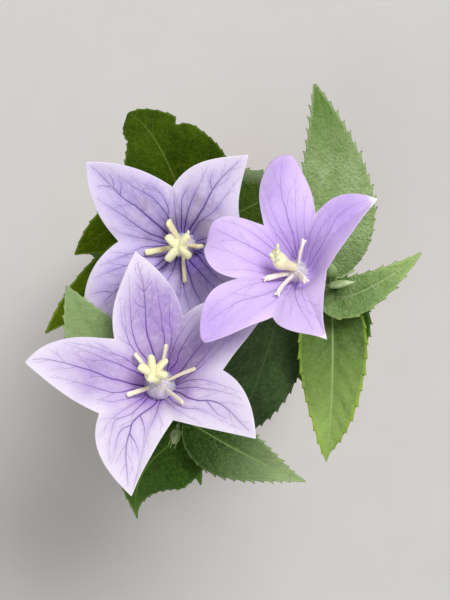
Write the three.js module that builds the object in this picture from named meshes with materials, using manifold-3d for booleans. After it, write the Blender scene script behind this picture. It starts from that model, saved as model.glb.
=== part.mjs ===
// Potted balloon flower: three open blooms and their leafy shoots in a small clay pot.
// Millimetres, +Z up, origin at the centre of the pot's underside.

import * as THREE from 'three';
import { mergeVertices } from 'three/addons/utils/BufferGeometryUtils.js';
import Module from 'manifold-3d';

// Clay pot
const POT_HEIGHT = 80;
const POT_RIM_RADIUS = 44;
const POT_BAND_HEIGHT = 16;
const POT_BAND_STEP = 2.6;
const POT_FOOT_RADIUS = 30;
const POT_WALL = 4.4;
const POT_FLOOR = 5;
const POT_SIDES = 32;
const POT_FOOT_CHAMFER = 1.2;
const POT_EDGE_ROUND = 1.6;
const DRAIN_COUNT = 3;
const DRAIN_RADIUS = 3.2;
const DRAIN_CIRCLE_RADIUS = 15;

// Soil
const SOIL_TOP = 69;
const SOIL_LUMP_HEIGHT = 1.3;
const SOIL_RINGS = 4;
const SOIL_EDGE_DROP = 1;

// Clearance between pieces that touch
const GAP = 0.32;

// Stems
const STEM_RADIUS = 1.35;
const STEM_FOOT_Z = 50;
const STEM_SIDES = 8;
const STEM_STEPS = 12;
const STEM_TAPER = 0.12;
const STALK_RADIUS = 0.55;

// Leaves
const LEAF_THICKNESS = 0.7;
const TOOTH_LENGTH = 0.95;

// Blooms
const PETAL_THICKNESS = 0.7;
const THROAT_FLOOR_RADIUS = 3;
const BOWL_DEPTH = 7.5;
const BOWL_SPREAD = 5.5;
const PETAL_RINGS = [0.11, 0.24, 0.4, 0.6, 0.8, 1];
const MARGIN_STEPS = 6;
const CALYX_HEIGHT = 8;
const CALYX_RADIUS = 4.3;
const SEPAL_COUNT = 5;
const SEPAL_ROOT = 3.1;
const SEPAL_REACH = 9.2;
const SEPAL_HALF_WIDTH = 2.3;
const SEPAL_CLEARANCE = 2.3;
const FILAMENT_RADIUS = 0.55;

const UP = new THREE.Vector3(0, 0, 1);
const vec = (p) => new THREE.Vector3(...p);
const radians = THREE.MathUtils.degToRad;

const wasm = await Module();
wasm.setup();

const plant = new THREE.Group();

// Colours, each with the roughness of its surface
const clay = { color: 0xb5653f, roughness: 0.85 };
const earth = { color: 0x3a2a1e, roughness: 0.95 };
const stemGreen = { color: 0x6f8f4a, roughness: 0.6 };
const calyxGreen = { color: 0x7c9a5a, roughness: 0.6 };
const budGreen = { color: 0x86a566, roughness: 0.6 };
const darkLeaf = { color: 0x3a520b, roughness: 0.55 };
const shadeLeaf = { color: 0x374b26, roughness: 0.55 };
const midLeaf = { color: 0x446126, roughness: 0.55 };
const lightLeaf = { color: 0x8ca36b, roughness: 0.55 };
const brightLeaf = { color: 0x678142, roughness: 0.5 };
const paleLilac = { color: 0xd8c8ee, roughness: 0.6 };
const greyLilac = { color: 0xcdbfe4, roughness: 0.6 };
const violetLilac = { color: 0xc7acec, roughness: 0.6 };
const stamenCream = { color: 0xe8d9cf, roughness: 0.8 };
const styleYellow = { color: 0xf2ebba, roughness: 0.7 };

function material(finish) {
  return new THREE.MeshStandardMaterial({ ...finish, metalness: 0 });
}

function place(parent, name, geometry, finish) {
  const mesh = new THREE.Mesh(geometry, material(finish));
  mesh.name = name;
  parent.add(mesh);
  return mesh;
}

// Booleans

function solid(geometry) {
  const bare = geometry.clone();
  bare.deleteAttribute('normal');
  bare.deleteAttribute('uv');
  const merged = mergeVertices(bare, 1e-4);
  return new wasm.Manifold(new wasm.Mesh({
    numProp: 3,
    vertProperties: new Float32Array(merged.attributes.position.array),
    triVerts: new Uint32Array(merged.index.array),
  }));
}

function fromSolid(body) {
  const mesh = body.getMesh();
  return fromLists(mesh.vertProperties, mesh.triVerts);
}

function fromLists(positions, index) {
  const geometry = new THREE.BufferGeometry();
  geometry.setAttribute('position', new THREE.BufferAttribute(new Float32Array(positions), 3));
  geometry.setIndex([...index]);
  geometry.computeVertexNormals();
  return geometry;
}

function fuse(geometries) {
  return fromSolid(geometries.map(solid).reduce((sum, next) => sum.add(next)));
}

function carve(geometry, cutters) {
  return fromSolid(cutters.map(solid).reduce((rest, next) => rest.subtract(next), solid(geometry)));
}

// Shared forms

// A sheet with a top face, an underside moved by `drops`, and a wall round its rim. The rim lists
// the border's points anticlockwise, seen from the top.
function thickSheet(points, faces, rim, drops) {
  const count = points.length;
  const underside = points.map((point, i) => point.clone().add(drops[i]));
  const index = [];
  for (const [a, b, c] of faces) {
    index.push(a, b, c, count + a, count + c, count + b);
  }
  rim.forEach((a, i) => {
    const b = rim[(i + 1) % rim.length];
    index.push(b, a, count + a, b, count + a, count + b);
  });
  return fromLists([...points, ...underside].flatMap((p) => p.toArray()), index);
}

// A closed tube along a curve. `radius` gives the radius at each place from 0 to 1.
function tube(curve, radius, sides, steps) {
  const frames = curve.computeFrenetFrames(steps, false);
  const positions = [];
  const index = [];
  for (let k = 0; k <= steps; k++) {
    const centre = curve.getPointAt(k / steps);
    for (let j = 0; j < sides; j++) {
      const angle = (2 * Math.PI * j) / sides;
      const spoke = frames.normals[k].clone().multiplyScalar(Math.cos(angle));
      spoke.addScaledVector(frames.binormals[k], Math.sin(angle));
      positions.push(...centre.clone().addScaledVector(spoke, radius(k / steps)).toArray());
    }
  }
  const start = positions.length / 3;
  positions.push(...curve.getPointAt(0).toArray(), ...curve.getPointAt(1).toArray());
  for (let j = 0; j < sides; j++) {
    const next = (j + 1) % sides;
    for (let k = 0; k < steps; k++) {
      const [a, b] = [k * sides + j, k * sides + next];
      index.push(a, b, b + sides, a, b + sides, a + sides);
    }
    index.push(start, next, j);
    index.push(start + 1, steps * sides + j, steps * sides + next);
  }
  return fromLists(positions, index);
}

function lathe(profile, sides) {
  return new THREE.LatheGeometry(profile.map(([r, z]) => new THREE.Vector2(r, z)), sides)
    .rotateX(Math.PI / 2);
}

// Pot and soil

// Inner radius of the pot at height z: the wall slopes evenly from the foot to the band.
function potInnerRadius(z) {
  const outerAtBand = POT_RIM_RADIUS - POT_BAND_STEP;
  const slope = (outerAtBand - POT_FOOT_RADIUS) / (POT_HEIGHT - POT_BAND_HEIGHT);
  return Math.min(POT_FOOT_RADIUS + slope * z, outerAtBand) - POT_WALL;
}

function potGeometry() {
  const bandFoot = POT_HEIGHT - POT_BAND_HEIGHT;
  const shell = lathe([
    [0, 0],
    [POT_FOOT_RADIUS - POT_FOOT_CHAMFER, 0],
    [POT_FOOT_RADIUS, POT_FOOT_CHAMFER],
    [POT_RIM_RADIUS - POT_BAND_STEP, bandFoot],
    [POT_RIM_RADIUS - POT_EDGE_ROUND / 2, bandFoot + POT_EDGE_ROUND / 4],
    [POT_RIM_RADIUS, bandFoot + POT_EDGE_ROUND],
    [POT_RIM_RADIUS, POT_HEIGHT - POT_EDGE_ROUND],
    [POT_RIM_RADIUS - POT_EDGE_ROUND, POT_HEIGHT],
    [POT_RIM_RADIUS - POT_WALL, POT_HEIGHT],
    [potInnerRadius(bandFoot), POT_HEIGHT - 1.5 * POT_EDGE_ROUND],
    [potInnerRadius(bandFoot), bandFoot],
    [potInnerRadius(POT_FLOOR), POT_FLOOR],
    [0, POT_FLOOR],
  ], POT_SIDES);
  const drains = [];
  for (let i = 0; i < DRAIN_COUNT; i++) {
    const bearing = (2 * Math.PI * i) / DRAIN_COUNT;
    const hole = new THREE.CylinderGeometry(DRAIN_RADIUS, DRAIN_RADIUS, 4 * POT_FLOOR, 12);
    hole.rotateX(Math.PI / 2);
    hole.translate(
      DRAIN_CIRCLE_RADIUS * Math.cos(bearing), DRAIN_CIRCLE_RADIUS * Math.sin(bearing), 0);
    drains.push(hole);
  }
  return carve(shell, drains);
}

// Soil with a lumpy top, and a plain hole for each stem
function soilGeometry(stemFeet) {
  const foot = POT_FLOOR + GAP;
  const bandFoot = POT_HEIGHT - POT_BAND_HEIGHT;
  const rings = [];
  for (let k = 1; k <= SOIL_RINGS; k++) {
    const radius = (potInnerRadius(SOIL_TOP) - GAP) * (k / SOIL_RINGS);
    rings.push({ radius, z: SOIL_TOP });
  }
  rings.push({ radius: potInnerRadius(bandFoot) - GAP, z: bandFoot });
  rings.push({ radius: potInnerRadius(foot) - GAP, z: foot });
  const positions = [0, 0, SOIL_TOP];
  const index = [];
  rings.forEach(({ radius, z }, k) => {
    for (let j = 0; j < POT_SIDES; j++) {
      const angle = (2 * Math.PI * j) / POT_SIDES;
      const x = radius * Math.cos(angle);
      const y = radius * Math.sin(angle);
      const lump = k < SOIL_RINGS - 1
        ? SOIL_LUMP_HEIGHT * Math.sin(0.31 * x + 1) * Math.cos(0.27 * y - 0.4) : -SOIL_EDGE_DROP;
      positions.push(x, y, k < SOIL_RINGS ? z + lump : z);
    }
  });
  const ringStart = (k) => 1 + k * POT_SIDES;
  for (let j = 0; j < POT_SIDES; j++) {
    const next = (j + 1) % POT_SIDES;
    index.push(0, 1 + j, 1 + next);
    for (let k = 0; k + 1 < rings.length; k++) {
      const [a, b] = [ringStart(k) + j, ringStart(k) + next];
      index.push(a, a + POT_SIDES, b + POT_SIDES, a, b + POT_SIDES, b);
    }
  }
  const centre = positions.length / 3;
  const last = ringStart(rings.length - 1);
  positions.push(0, 0, foot);
  for (let j = 0; j < POT_SIDES; j++) {
    index.push(centre, last + ((j + 1) % POT_SIDES), last + j);
  }
  const holes = stemFeet.map(([x, y]) => {
    const depth = SOIL_TOP + 5 - STEM_FOOT_Z;
    const radius = STEM_RADIUS + 1.25 * GAP;
    const hole = new THREE.CylinderGeometry(radius, radius, depth, 12);
    hole.rotateX(Math.PI / 2);
    hole.translate(x, y, STEM_FOOT_Z - GAP + depth / 2);
    return hole;
  });
  return carve(fromLists(positions, index), holes);
}

// Leaves

// Half-width of an ovate blade from base (0) to tip (1), as a share of its widest place, `belly`
function bladeShare(t, belly) {
  return Math.sin(Math.PI * Math.pow(t, Math.log(0.5) / Math.log(belly)));
}

// A toothed blade along the curve from base to bend to tip. `across` is the number of faces from
// the midrib to the margin, `fold` lifts (+) or lowers (-) the margins, `curl` bends the outer
// part down, `wave` ripples the margins, `roll` turns the blade about its midrib and `belly` is
// its widest place.
function leafGeometry(leaf, base) {
  const { bend, tip, halfWidth, teeth = 8, across = 2 } = leaf;
  const { fold = 0.18, curl = 0, wave = 0.5, roll = 0, belly = 0.4 } = leaf;
  const midrib = new THREE.QuadraticBezierCurve3(base, bend, tip);
  const length = midrib.getLength();
  const rows = 2 * teeth;
  const points = [];
  const drops = [];
  for (let k = 0; k <= rows; k++) {
    const t = k / rows;
    const along = midrib.getTangentAt(t);
    const side = new THREE.Vector3().crossVectors(along, UP).normalize();
    side.applyAxisAngle(along, radians(roll));
    const normal = new THREE.Vector3().crossVectors(side, along).normalize();
    const share = bladeShare(t, belly);
    const width = 0.9 * (1 - t) + 0.2 * t + halfWidth * share;
    const toothed = k % 2 === 1 ? TOOTH_LENGTH * Math.min(1, width / 3) : 0;
    const sag = curl * length * Math.pow(Math.max(0, (t - 0.55) / 0.45), 2);
    for (let j = -across; j <= across; j++) {
      const u = j / across;
      const atMargin = Math.abs(j) === across;
      const reach = u * width + (atMargin ? Math.sign(u) * toothed * 0.6 : 0);
      const lean = atMargin ? toothed * 0.8 : 0;
      const ripple = wave * Math.sin(2.6 * Math.PI * t + (u > 0 ? 0.6 : 2.2)) * u * u;
      const point = midrib.getPointAt(t);
      point.addScaledVector(side, reach);
      point.addScaledVector(along, lean);
      point.addScaledVector(normal, fold * Math.abs(reach) * share + ripple);
      point.z -= sag;
      points.push(point);
      drops.push(normal.clone().multiplyScalar(-LEAF_THICKNESS));
    }
  }
  const columns = 2 * across + 1;
  const faces = [];
  for (let k = 0; k < rows; k++) {
    for (let j = 0; j < columns - 1; j++) {
      const a = k * columns + j;
      const [b, c, d] = [a + 1, a + columns + 1, a + columns];
      faces.push(j < across ? [a, b, c] : [a, b, d], j < across ? [a, c, d] : [b, c, d]);
    }
  }
  const rim = [];
  for (let j = 0; j < columns; j++) rim.push(j);
  for (let k = 1; k <= rows; k++) rim.push(k * columns + columns - 1);
  for (let j = columns - 2; j >= 0; j--) rim.push(rows * columns + j);
  for (let k = rows - 1; k >= 1; k--) rim.push(k * columns);
  return thickSheet(points, faces, rim, drops);
}

// Where a leaf or a stalk leaves its stem: at height z, on the side that faces `toward`, with its
// centre `clear` away from the stem's surface
function attachment(curve, z, toward, clear) {
  let [low, high] = [0, 1];
  for (let i = 0; i < 30; i++) {
    const middle = (low + high) / 2;
    if (curve.getPoint(middle).z < z) low = middle;
    else high = middle;
  }
  const point = curve.getPoint(low);
  const along = curve.getTangent(low);
  const out = toward.clone().sub(point);
  out.addScaledVector(along, -out.dot(along)).normalize();
  return point.addScaledVector(out, STEM_RADIUS * (1 - STEM_TAPER * low) + clear);
}

// Blooms

// Height of the corolla's inside above its floor, at radius r: a flat floor, a bowl and a slope
function bowlHeight(r, slope) {
  const q = Math.max(0, r - THROAT_FLOOR_RADIUS);
  return BOWL_DEPTH * (1 - Math.exp(-((q / BOWL_SPREAD) ** 2))) + slope * q;
}

function polar([bearing, reach]) {
  return new THREE.Vector2(Math.cos(radians(bearing)), Math.sin(radians(bearing)))
    .multiplyScalar(reach);
}

// One side of a lobe, from the sinus to the tip. The bulges set how far the margin stands out
// from the straight line, near the tip and near the sinus, as shares of that line's length.
function lobeMargin(sinus, tip, [nearTip, nearSinus], side) {
  const line = tip.clone().sub(sinus);
  const out = new THREE.Vector2(-line.y, line.x).multiplyScalar(side);
  const second = sinus.clone().addScaledVector(line, 1 / 3).addScaledVector(out, nearSinus);
  const third = sinus.clone().addScaledVector(line, 2 / 3).addScaledVector(out, nearTip);
  return new THREE.CubicBezierCurve(sinus, second, third, tip);
}

// The corolla's border as spokes: each has its place on the border, its place v across the lobe
// (-1 and 1 at the sinuses, 0 at the midrib) and its lobe
function corollaSpokes(lobes) {
  const spokes = [];
  lobes.forEach((lobe, i) => {
    const before = polar(lobes[(i + lobes.length - 1) % lobes.length].sinus);
    const after = polar(lobe.sinus);
    const tip = polar(lobe.tip);
    const rising = lobeMargin(before, tip, lobe.clockwise, -1);
    const falling = lobeMargin(after, tip, lobe.anticlockwise, 1);
    for (let k = 0; k < MARGIN_STEPS; k++) {
      spokes.push({ edge: rising.getPoint(k / MARGIN_STEPS), v: k / MARGIN_STEPS - 1, lobe });
    }
    for (let k = 0; k < MARGIN_STEPS; k++) {
      spokes.push({ edge: falling.getPoint(1 - k / MARGIN_STEPS), v: k / MARGIN_STEPS, lobe });
    }
  });
  return spokes;
}

// A lobe's relief: a groove on the midrib, arched halves, a pleat below each sinus, a tip that
// curls down and halves that tilt
function lobeRelief(lobe, v, g) {
  const w = Math.abs(v);
  const { curl = 0, tilt = 0, arch = 0.7 } = lobe;
  const half = Math.sin(Math.PI * w) * g * g;
  const groove = -0.35 * Math.exp(-((w / 0.16) ** 2)) * g;
  const pleat = -0.6 * Math.exp(-(((1 - w) / 0.2) ** 2)) * g;
  const tipCurl = -curl * Math.pow(Math.max(0, (g - 0.5) / 0.5), 2) * (1 - w);
  return groove + pleat + tipCurl + (arch + tilt * Math.sign(v)) * half;
}

function corollaPoint(spoke, g, slope) {
  const reach = spoke.edge.length();
  const radius = THROAT_FLOOR_RADIUS + (reach - THROAT_FLOOR_RADIUS) * g;
  const x = (spoke.edge.x / reach) * radius;
  const y = (spoke.edge.y / reach) * radius;
  return new THREE.Vector3(x, y, bowlHeight(radius, slope) + lobeRelief(spoke.lobe, spoke.v, g));
}

function corollaGeometry(bloom) {
  const spokes = corollaSpokes(bloom.lobes);
  const rings = [0, ...PETAL_RINGS];
  const points = [new THREE.Vector3(0, 0, 0)];
  for (const g of rings) {
    for (const spoke of spokes) points.push(corollaPoint(spoke, g, bloom.slope));
  }
  const count = spokes.length;
  const faces = [];
  for (let j = 0; j < count; j++) {
    const next = (j + 1) % count;
    faces.push([0, 1 + j, 1 + next]);
    for (let k = 0; k + 1 < rings.length; k++) {
      const [a, b] = [1 + k * count + j, 1 + k * count + next];
      const [c, d] = [b + count, a + count];
      if (spokes[j].v < 0) faces.push([a, d, b], [b, d, c]);
      else faces.push([a, d, c], [a, c, b]);
    }
  }
  const rim = spokes.map((_, j) => 1 + (rings.length - 1) * count + j);
  const surface = fromLists(points.flatMap((p) => p.toArray()), faces.flat());
  const normals = surface.attributes.normal;
  const drops = points.map((_, i) => (
    new THREE.Vector3().fromBufferAttribute(normals, i).multiplyScalar(-PETAL_THICKNESS)));
  return thickSheet(points, faces, rim, drops);
}

// The cup of the calyx with its five pointed sepals, under the corolla
function calyxGeometry(bloom) {
  const top = -PETAL_THICKNESS - GAP;
  const cup = lathe([
    [0, -CALYX_HEIGHT],
    [0.35 * CALYX_RADIUS, -CALYX_HEIGHT],
    [0.77 * CALYX_RADIUS, -0.68 * CALYX_HEIGHT],
    [CALYX_RADIUS, -0.33 * CALYX_HEIGHT],
    [0.74 * CALYX_RADIUS, top],
    [0, top],
  ], 2 * SEPAL_COUNT);
  const parts = [cup];
  for (let i = 0; i < SEPAL_COUNT; i++) {
    const bearing = radians(bloom.lobes[i].sinus[0]);
    parts.push(sepalGeometry(bearing, bloom.slope));
  }
  return fuse(parts);
}

function sepalGeometry(bearing, slope) {
  const rows = 2;
  const points = [];
  const drops = [];
  for (let k = 0; k <= rows; k++) {
    const t = k / rows;
    const radius = SEPAL_ROOT + (SEPAL_REACH - SEPAL_ROOT) * t;
    const z = bowlHeight(radius, slope) - SEPAL_CLEARANCE;
    const halfWidth = SEPAL_HALF_WIDTH * (1 - 0.87 * t);
    for (const u of [-1, 0, 1]) {
      const point = new THREE.Vector3(radius, u * halfWidth, z + 0.25 * Math.abs(u) * (1 - t));
      points.push(point.applyAxisAngle(UP, bearing));
      drops.push(new THREE.Vector3(0.45, 0, -0.6).applyAxisAngle(UP, bearing));
    }
  }
  const faces = [];
  for (let k = 0; k < rows; k++) {
    for (const j of [0, 1]) {
      const a = 3 * k + j;
      faces.push([a, a + 3, a + 4], [a, a + 4, a + 1]);
    }
  }
  const rim = [0, 3, 6, 7, 8, 5, 2, 1];
  return thickSheet(points, faces, rim, drops);
}

// The fuzzy dome of filament bases on the throat's floor, with the spent filaments round it
function stamensGeometry(bloom) {
  const { domeRadius, domeHeight } = bloom;
  const sides = 10;
  const foot = GAP;
  const profile = [[0.62, 0], [0.9, 0.16], [1, 0.42], [0.86, 0.72], [0.5, 0.93]];
  const positions = [0, 0, foot];
  const index = [];
  profile.forEach(([share, rise]) => {
    for (let j = 0; j < sides; j++) {
      const angle = (2 * Math.PI * j) / sides;
      const radius = domeRadius * share * (1 + 0.09 * Math.cos(SEPAL_COUNT * angle));
      positions.push(radius * Math.cos(angle), radius * Math.sin(angle), foot + domeHeight * rise);
    }
  });
  positions.push(0, 0, foot + domeHeight);
  const crown = positions.length / 3 - 1;
  for (let j = 0; j < sides; j++) {
    const next = (j + 1) % sides;
    index.push(0, 1 + next, 1 + j);
    for (let k = 0; k + 1 < profile.length; k++) {
      const [a, b] = [1 + k * sides + j, 1 + k * sides + next];
      index.push(a, b, b + sides, a, b + sides, a + sides);
    }
    index.push(crown - sides + j, crown - sides + next, crown);
  }
  const parts = [fromLists(positions, index)];
  for (const [bearing, reach, height, thickness = 1] of bloom.filaments) {
    const out = polar([bearing, 1]);
    const root = new THREE.Vector3(out.x, out.y, domeHeight * 0.55);
    const rise = Math.max(domeHeight * 0.8, height * 0.78);
    const middle = new THREE.Vector3(out.x * reach * 0.55, out.y * reach * 0.55, rise);
    const tip = new THREE.Vector3(out.x * reach, out.y * reach, height);
    const curve = new THREE.QuadraticBezierCurve3(root, middle, tip);
    parts.push(tube(curve, (t) => FILAMENT_RADIUS * thickness * (0.8 + 0.35 * t), 5, 3));
  }
  return fuse(parts);
}

// The style above the dome, with its stigma's lobes: spread as a star, or closed
function styleGeometry(bloom) {
  const { styleFoot, styleTop, styleRadius, stigma } = bloom;
  const column = new THREE.LineCurve3(
    new THREE.Vector3(0, 0, styleFoot), new THREE.Vector3(0, 0, styleTop));
  const swell = bloom.styleSwell ?? 0;
  const parts = [
    tube(column, (t) => styleRadius * (1 + swell * Math.sin(Math.PI * t)), 8, 4),
  ];
  for (const [bearing, reach, lift, thickness] of stigma) {
    const out = polar([bearing, 1]);
    const curve = new THREE.QuadraticBezierCurve3(
      new THREE.Vector3(0, 0, styleTop - 0.7),
      new THREE.Vector3(out.x * reach * 0.55, out.y * reach * 0.55, styleTop + 0.5 * lift + 0.5),
      new THREE.Vector3(out.x * reach, out.y * reach, styleTop + lift));
    parts.push(tube(curve, (t) => thickness * (0.75 + 0.5 * Math.sin(2.4 * t)), 5, 3));
  }
  return fuse(parts);
}

// A round or slim green bud on a short stalk
function budGeometry(foot, top, radius, stalkShare) {
  const girth = (t) => {
    if (t < stalkShare) return STALK_RADIUS;
    const s = (t - stalkShare) / (1 - stalkShare);
    return Math.max(0.3, radius * Math.sin(Math.PI * Math.pow(s, 0.8)));
  };
  return tube(new THREE.LineCurve3(foot, top), girth, 8, 7);
}

// Stems: the points that each stem's centre line passes through
const bloomFrames = {
  a: { base: [-12.5, -27.8, 214], axis: [-0.128, 0.352, 0.927] },
  b: { base: [-6.7, 11.7, 196], axis: [-0.128, -0.09, 0.988] },
  c: { base: [24.6, 2.7, 222], axis: [-0.25, 0.433, 0.866] },
};

// The stem ends just below its calyx, in line with the bloom's axis
function stemTop({ base, axis }, back = 0) {
  const fall = CALYX_HEIGHT + GAP + back;
  return vec(base).addScaledVector(vec(axis).normalize(), -fall).toArray();
}

// A stem's foot stands upright in the soil at (x, y)
function stemFoot(x, y) {
  return [[x, y, STEM_FOOT_Z], [x, y, STEM_FOOT_Z + 12], [x, y, STEM_FOOT_Z + 24]];
}

const stemPaths = {
  a: [...stemFoot(-4, -14), [-4, -24, 110], [-5.5, -34.5, 145], [-7.5, -38.5, 170],
    [-9.3, -37.6, 189], stemTop(bloomFrames.a, 4), stemTop(bloomFrames.a)],
  b: [...stemFoot(-4, 9), [-5, 12, 115], [-4, 14.5, 150], [-4.5, 13.8, 174],
    stemTop(bloomFrames.b, 4), stemTop(bloomFrames.b)],
  c: [...stemFoot(9, -3), [14, -4, 120], [21, -4, 160], [26.6, -4.8, 187],
    stemTop(bloomFrames.c, 5), stemTop(bloomFrames.c)],
  d: [...stemFoot(13, 8), [20, 9, 110], [29, 8, 140], [34.5, 4.5, 165], [36.9, 1.2, 184],
    [37.1, 0.6, 190]],
};

const stemCurves = {};
for (const [name, path] of Object.entries(stemPaths)) {
  stemCurves[name] = new THREE.CatmullRomCurve3(path.map(vec));
}

// Leaves: the stem and height of each base, then the bend and the tip of its midrib
const seenLeaves = [
  { name: 'leaf_back_left', stem: 'b', z: 170, bend: [-12, 43.5, 200], tip: [-23, 50, 191],
    halfWidth: 14.8, belly: 0.55, curl: 0.1, finish: darkLeaf, teeth: 9 },
  { name: 'leaf_back_right', stem: 'd', z: 183, bend: [38, 28.5, 204], tip: [30.3, 56.8, 203],
    halfWidth: 9.3, belly: 0.42, fold: 0.1, finish: lightLeaf, teeth: 11 },
  { name: 'leaf_right', stem: 'd', z: 186, bend: [50.3, -3, 200], tip: [60.9, 9.4, 198],
    halfWidth: 3.9, belly: 0.34, fold: 0.3, finish: lightLeaf, teeth: 8 },
  { name: 'leaf_front_right', stem: 'd', z: 180, bend: [36.7, -26.9, 197], tip: [35.7, -52, 172],
    halfWidth: 9.6, belly: 0.33, wave: 0.9, finish: brightLeaf, teeth: 9 },
  { name: 'leaf_right_under', stem: 'd', z: 174, bend: [47.2, -8.4, 180], tip: [44.3, -22.7, 170],
    halfWidth: 4, finish: midLeaf, teeth: 5 },
  { name: 'leaf_centre', stem: 'c', z: 168, bend: [18.2, -25, 184], tip: [6, -44, 168],
    halfWidth: 10.2, belly: 0.42, finish: shadeLeaf, teeth: 8 },
  { name: 'leaf_front_mid', stem: 'a', z: 178, bend: [9.4, -49.2, 190], tip: [28.9, -58.3, 176],
    halfWidth: 6.5, belly: 0.34, finish: midLeaf, teeth: 9 },
  { name: 'leaf_front_left', stem: 'a', z: 171, bend: [-21.7, -49, 180], tip: [-22.3, -71.6, 160],
    halfWidth: 7, belly: 0.36, finish: midLeaf, teeth: 8 },
  { name: 'leaf_front_small', stem: 'a', z: 160, bend: [-5.1, -50, 165], tip: [-2.6, -61.6, 157],
    halfWidth: 3, finish: midLeaf, teeth: 5 },
  { name: 'leaf_left_pale', stem: 'a', z: 188, bend: [-27.5, -28.2, 205], tip: [-39.1, 0, 206],
    halfWidth: 9.2, belly: 0.5, fold: 0.08, clear: 0.75, finish: lightLeaf, teeth: 8 },
  { name: 'leaf_left_slim', stem: 'b', z: 163, bend: [-27.9, 7.4, 181], tip: [-49, -13.9, 174],
    halfWidth: 7.6, finish: midLeaf, teeth: 8 },
  { name: 'leaf_left', stem: 'b', z: 147, bend: [-20.3, 28, 169], tip: [-41, 10, 166],
    halfWidth: 8.2, belly: 0.48, finish: darkLeaf, teeth: 8 },
  { name: 'leaf_middle', stem: 'b', z: 157, bend: [8.9, 23.5, 176], tip: [27.8, 31, 172],
    halfWidth: 11.5, finish: darkLeaf, teeth: 8 },
  { name: 'leaf_shoot_young', stem: 'd', z: 188.8, bend: [41, 0.4, 194.5], tip: [44, 1.4, 200],
    halfWidth: 1.7, fold: 0.4, wave: 0, teeth: 4, across: 1, finish: midLeaf },
];

// Lower leaves, which carry the foliage down to the pot: base height, tip and half-width
const lowerLeaves = [
  ['a', 136, [-30.4, -55, 130], 7.5],
  ['a', 124, [10.4, -47, 118], 7.5],
  ['a', 112, [-44, -26, 118], 7],
  ['a', 96, [-17, -45, 100], 6.5],
  ['b', 136, [-30.9, 35.2, 136], 7.5],
  ['b', 124, [6, 43, 122], 7.5],
  ['b', 108, [-43, 11, 113], 8],
  ['b', 92, [-14.3, 38, 97], 6.5],
  ['c', 146, [37.5, -32.7, 140], 7.5],
  ['c', 126, [17, -36, 120], 7.5],
  ['c', 102, [34, -19.4, 104], 7],
  ['d', 148, [43.2, 27, 150], 7.5],
  ['d', 128, [22, 38.9, 128], 7],
  ['d', 110, [49, 6, 114], 7],
].map(([stem, z, tip, halfWidth], i) => {
  const base = stemCurves[stem].getPoint(0.5);
  const lift = 9;
  const bend = [(base.x + tip[0]) / 2, (base.y + tip[1]) / 2, Math.max(z, tip[2]) + lift];
  return {
    name: `leaf_low_${stem}${i + 1}`, stem, z, bend, tip, halfWidth,
    teeth: 5, across: 1, finish: i % 2 ? midLeaf : shadeLeaf,
  };
});

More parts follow.
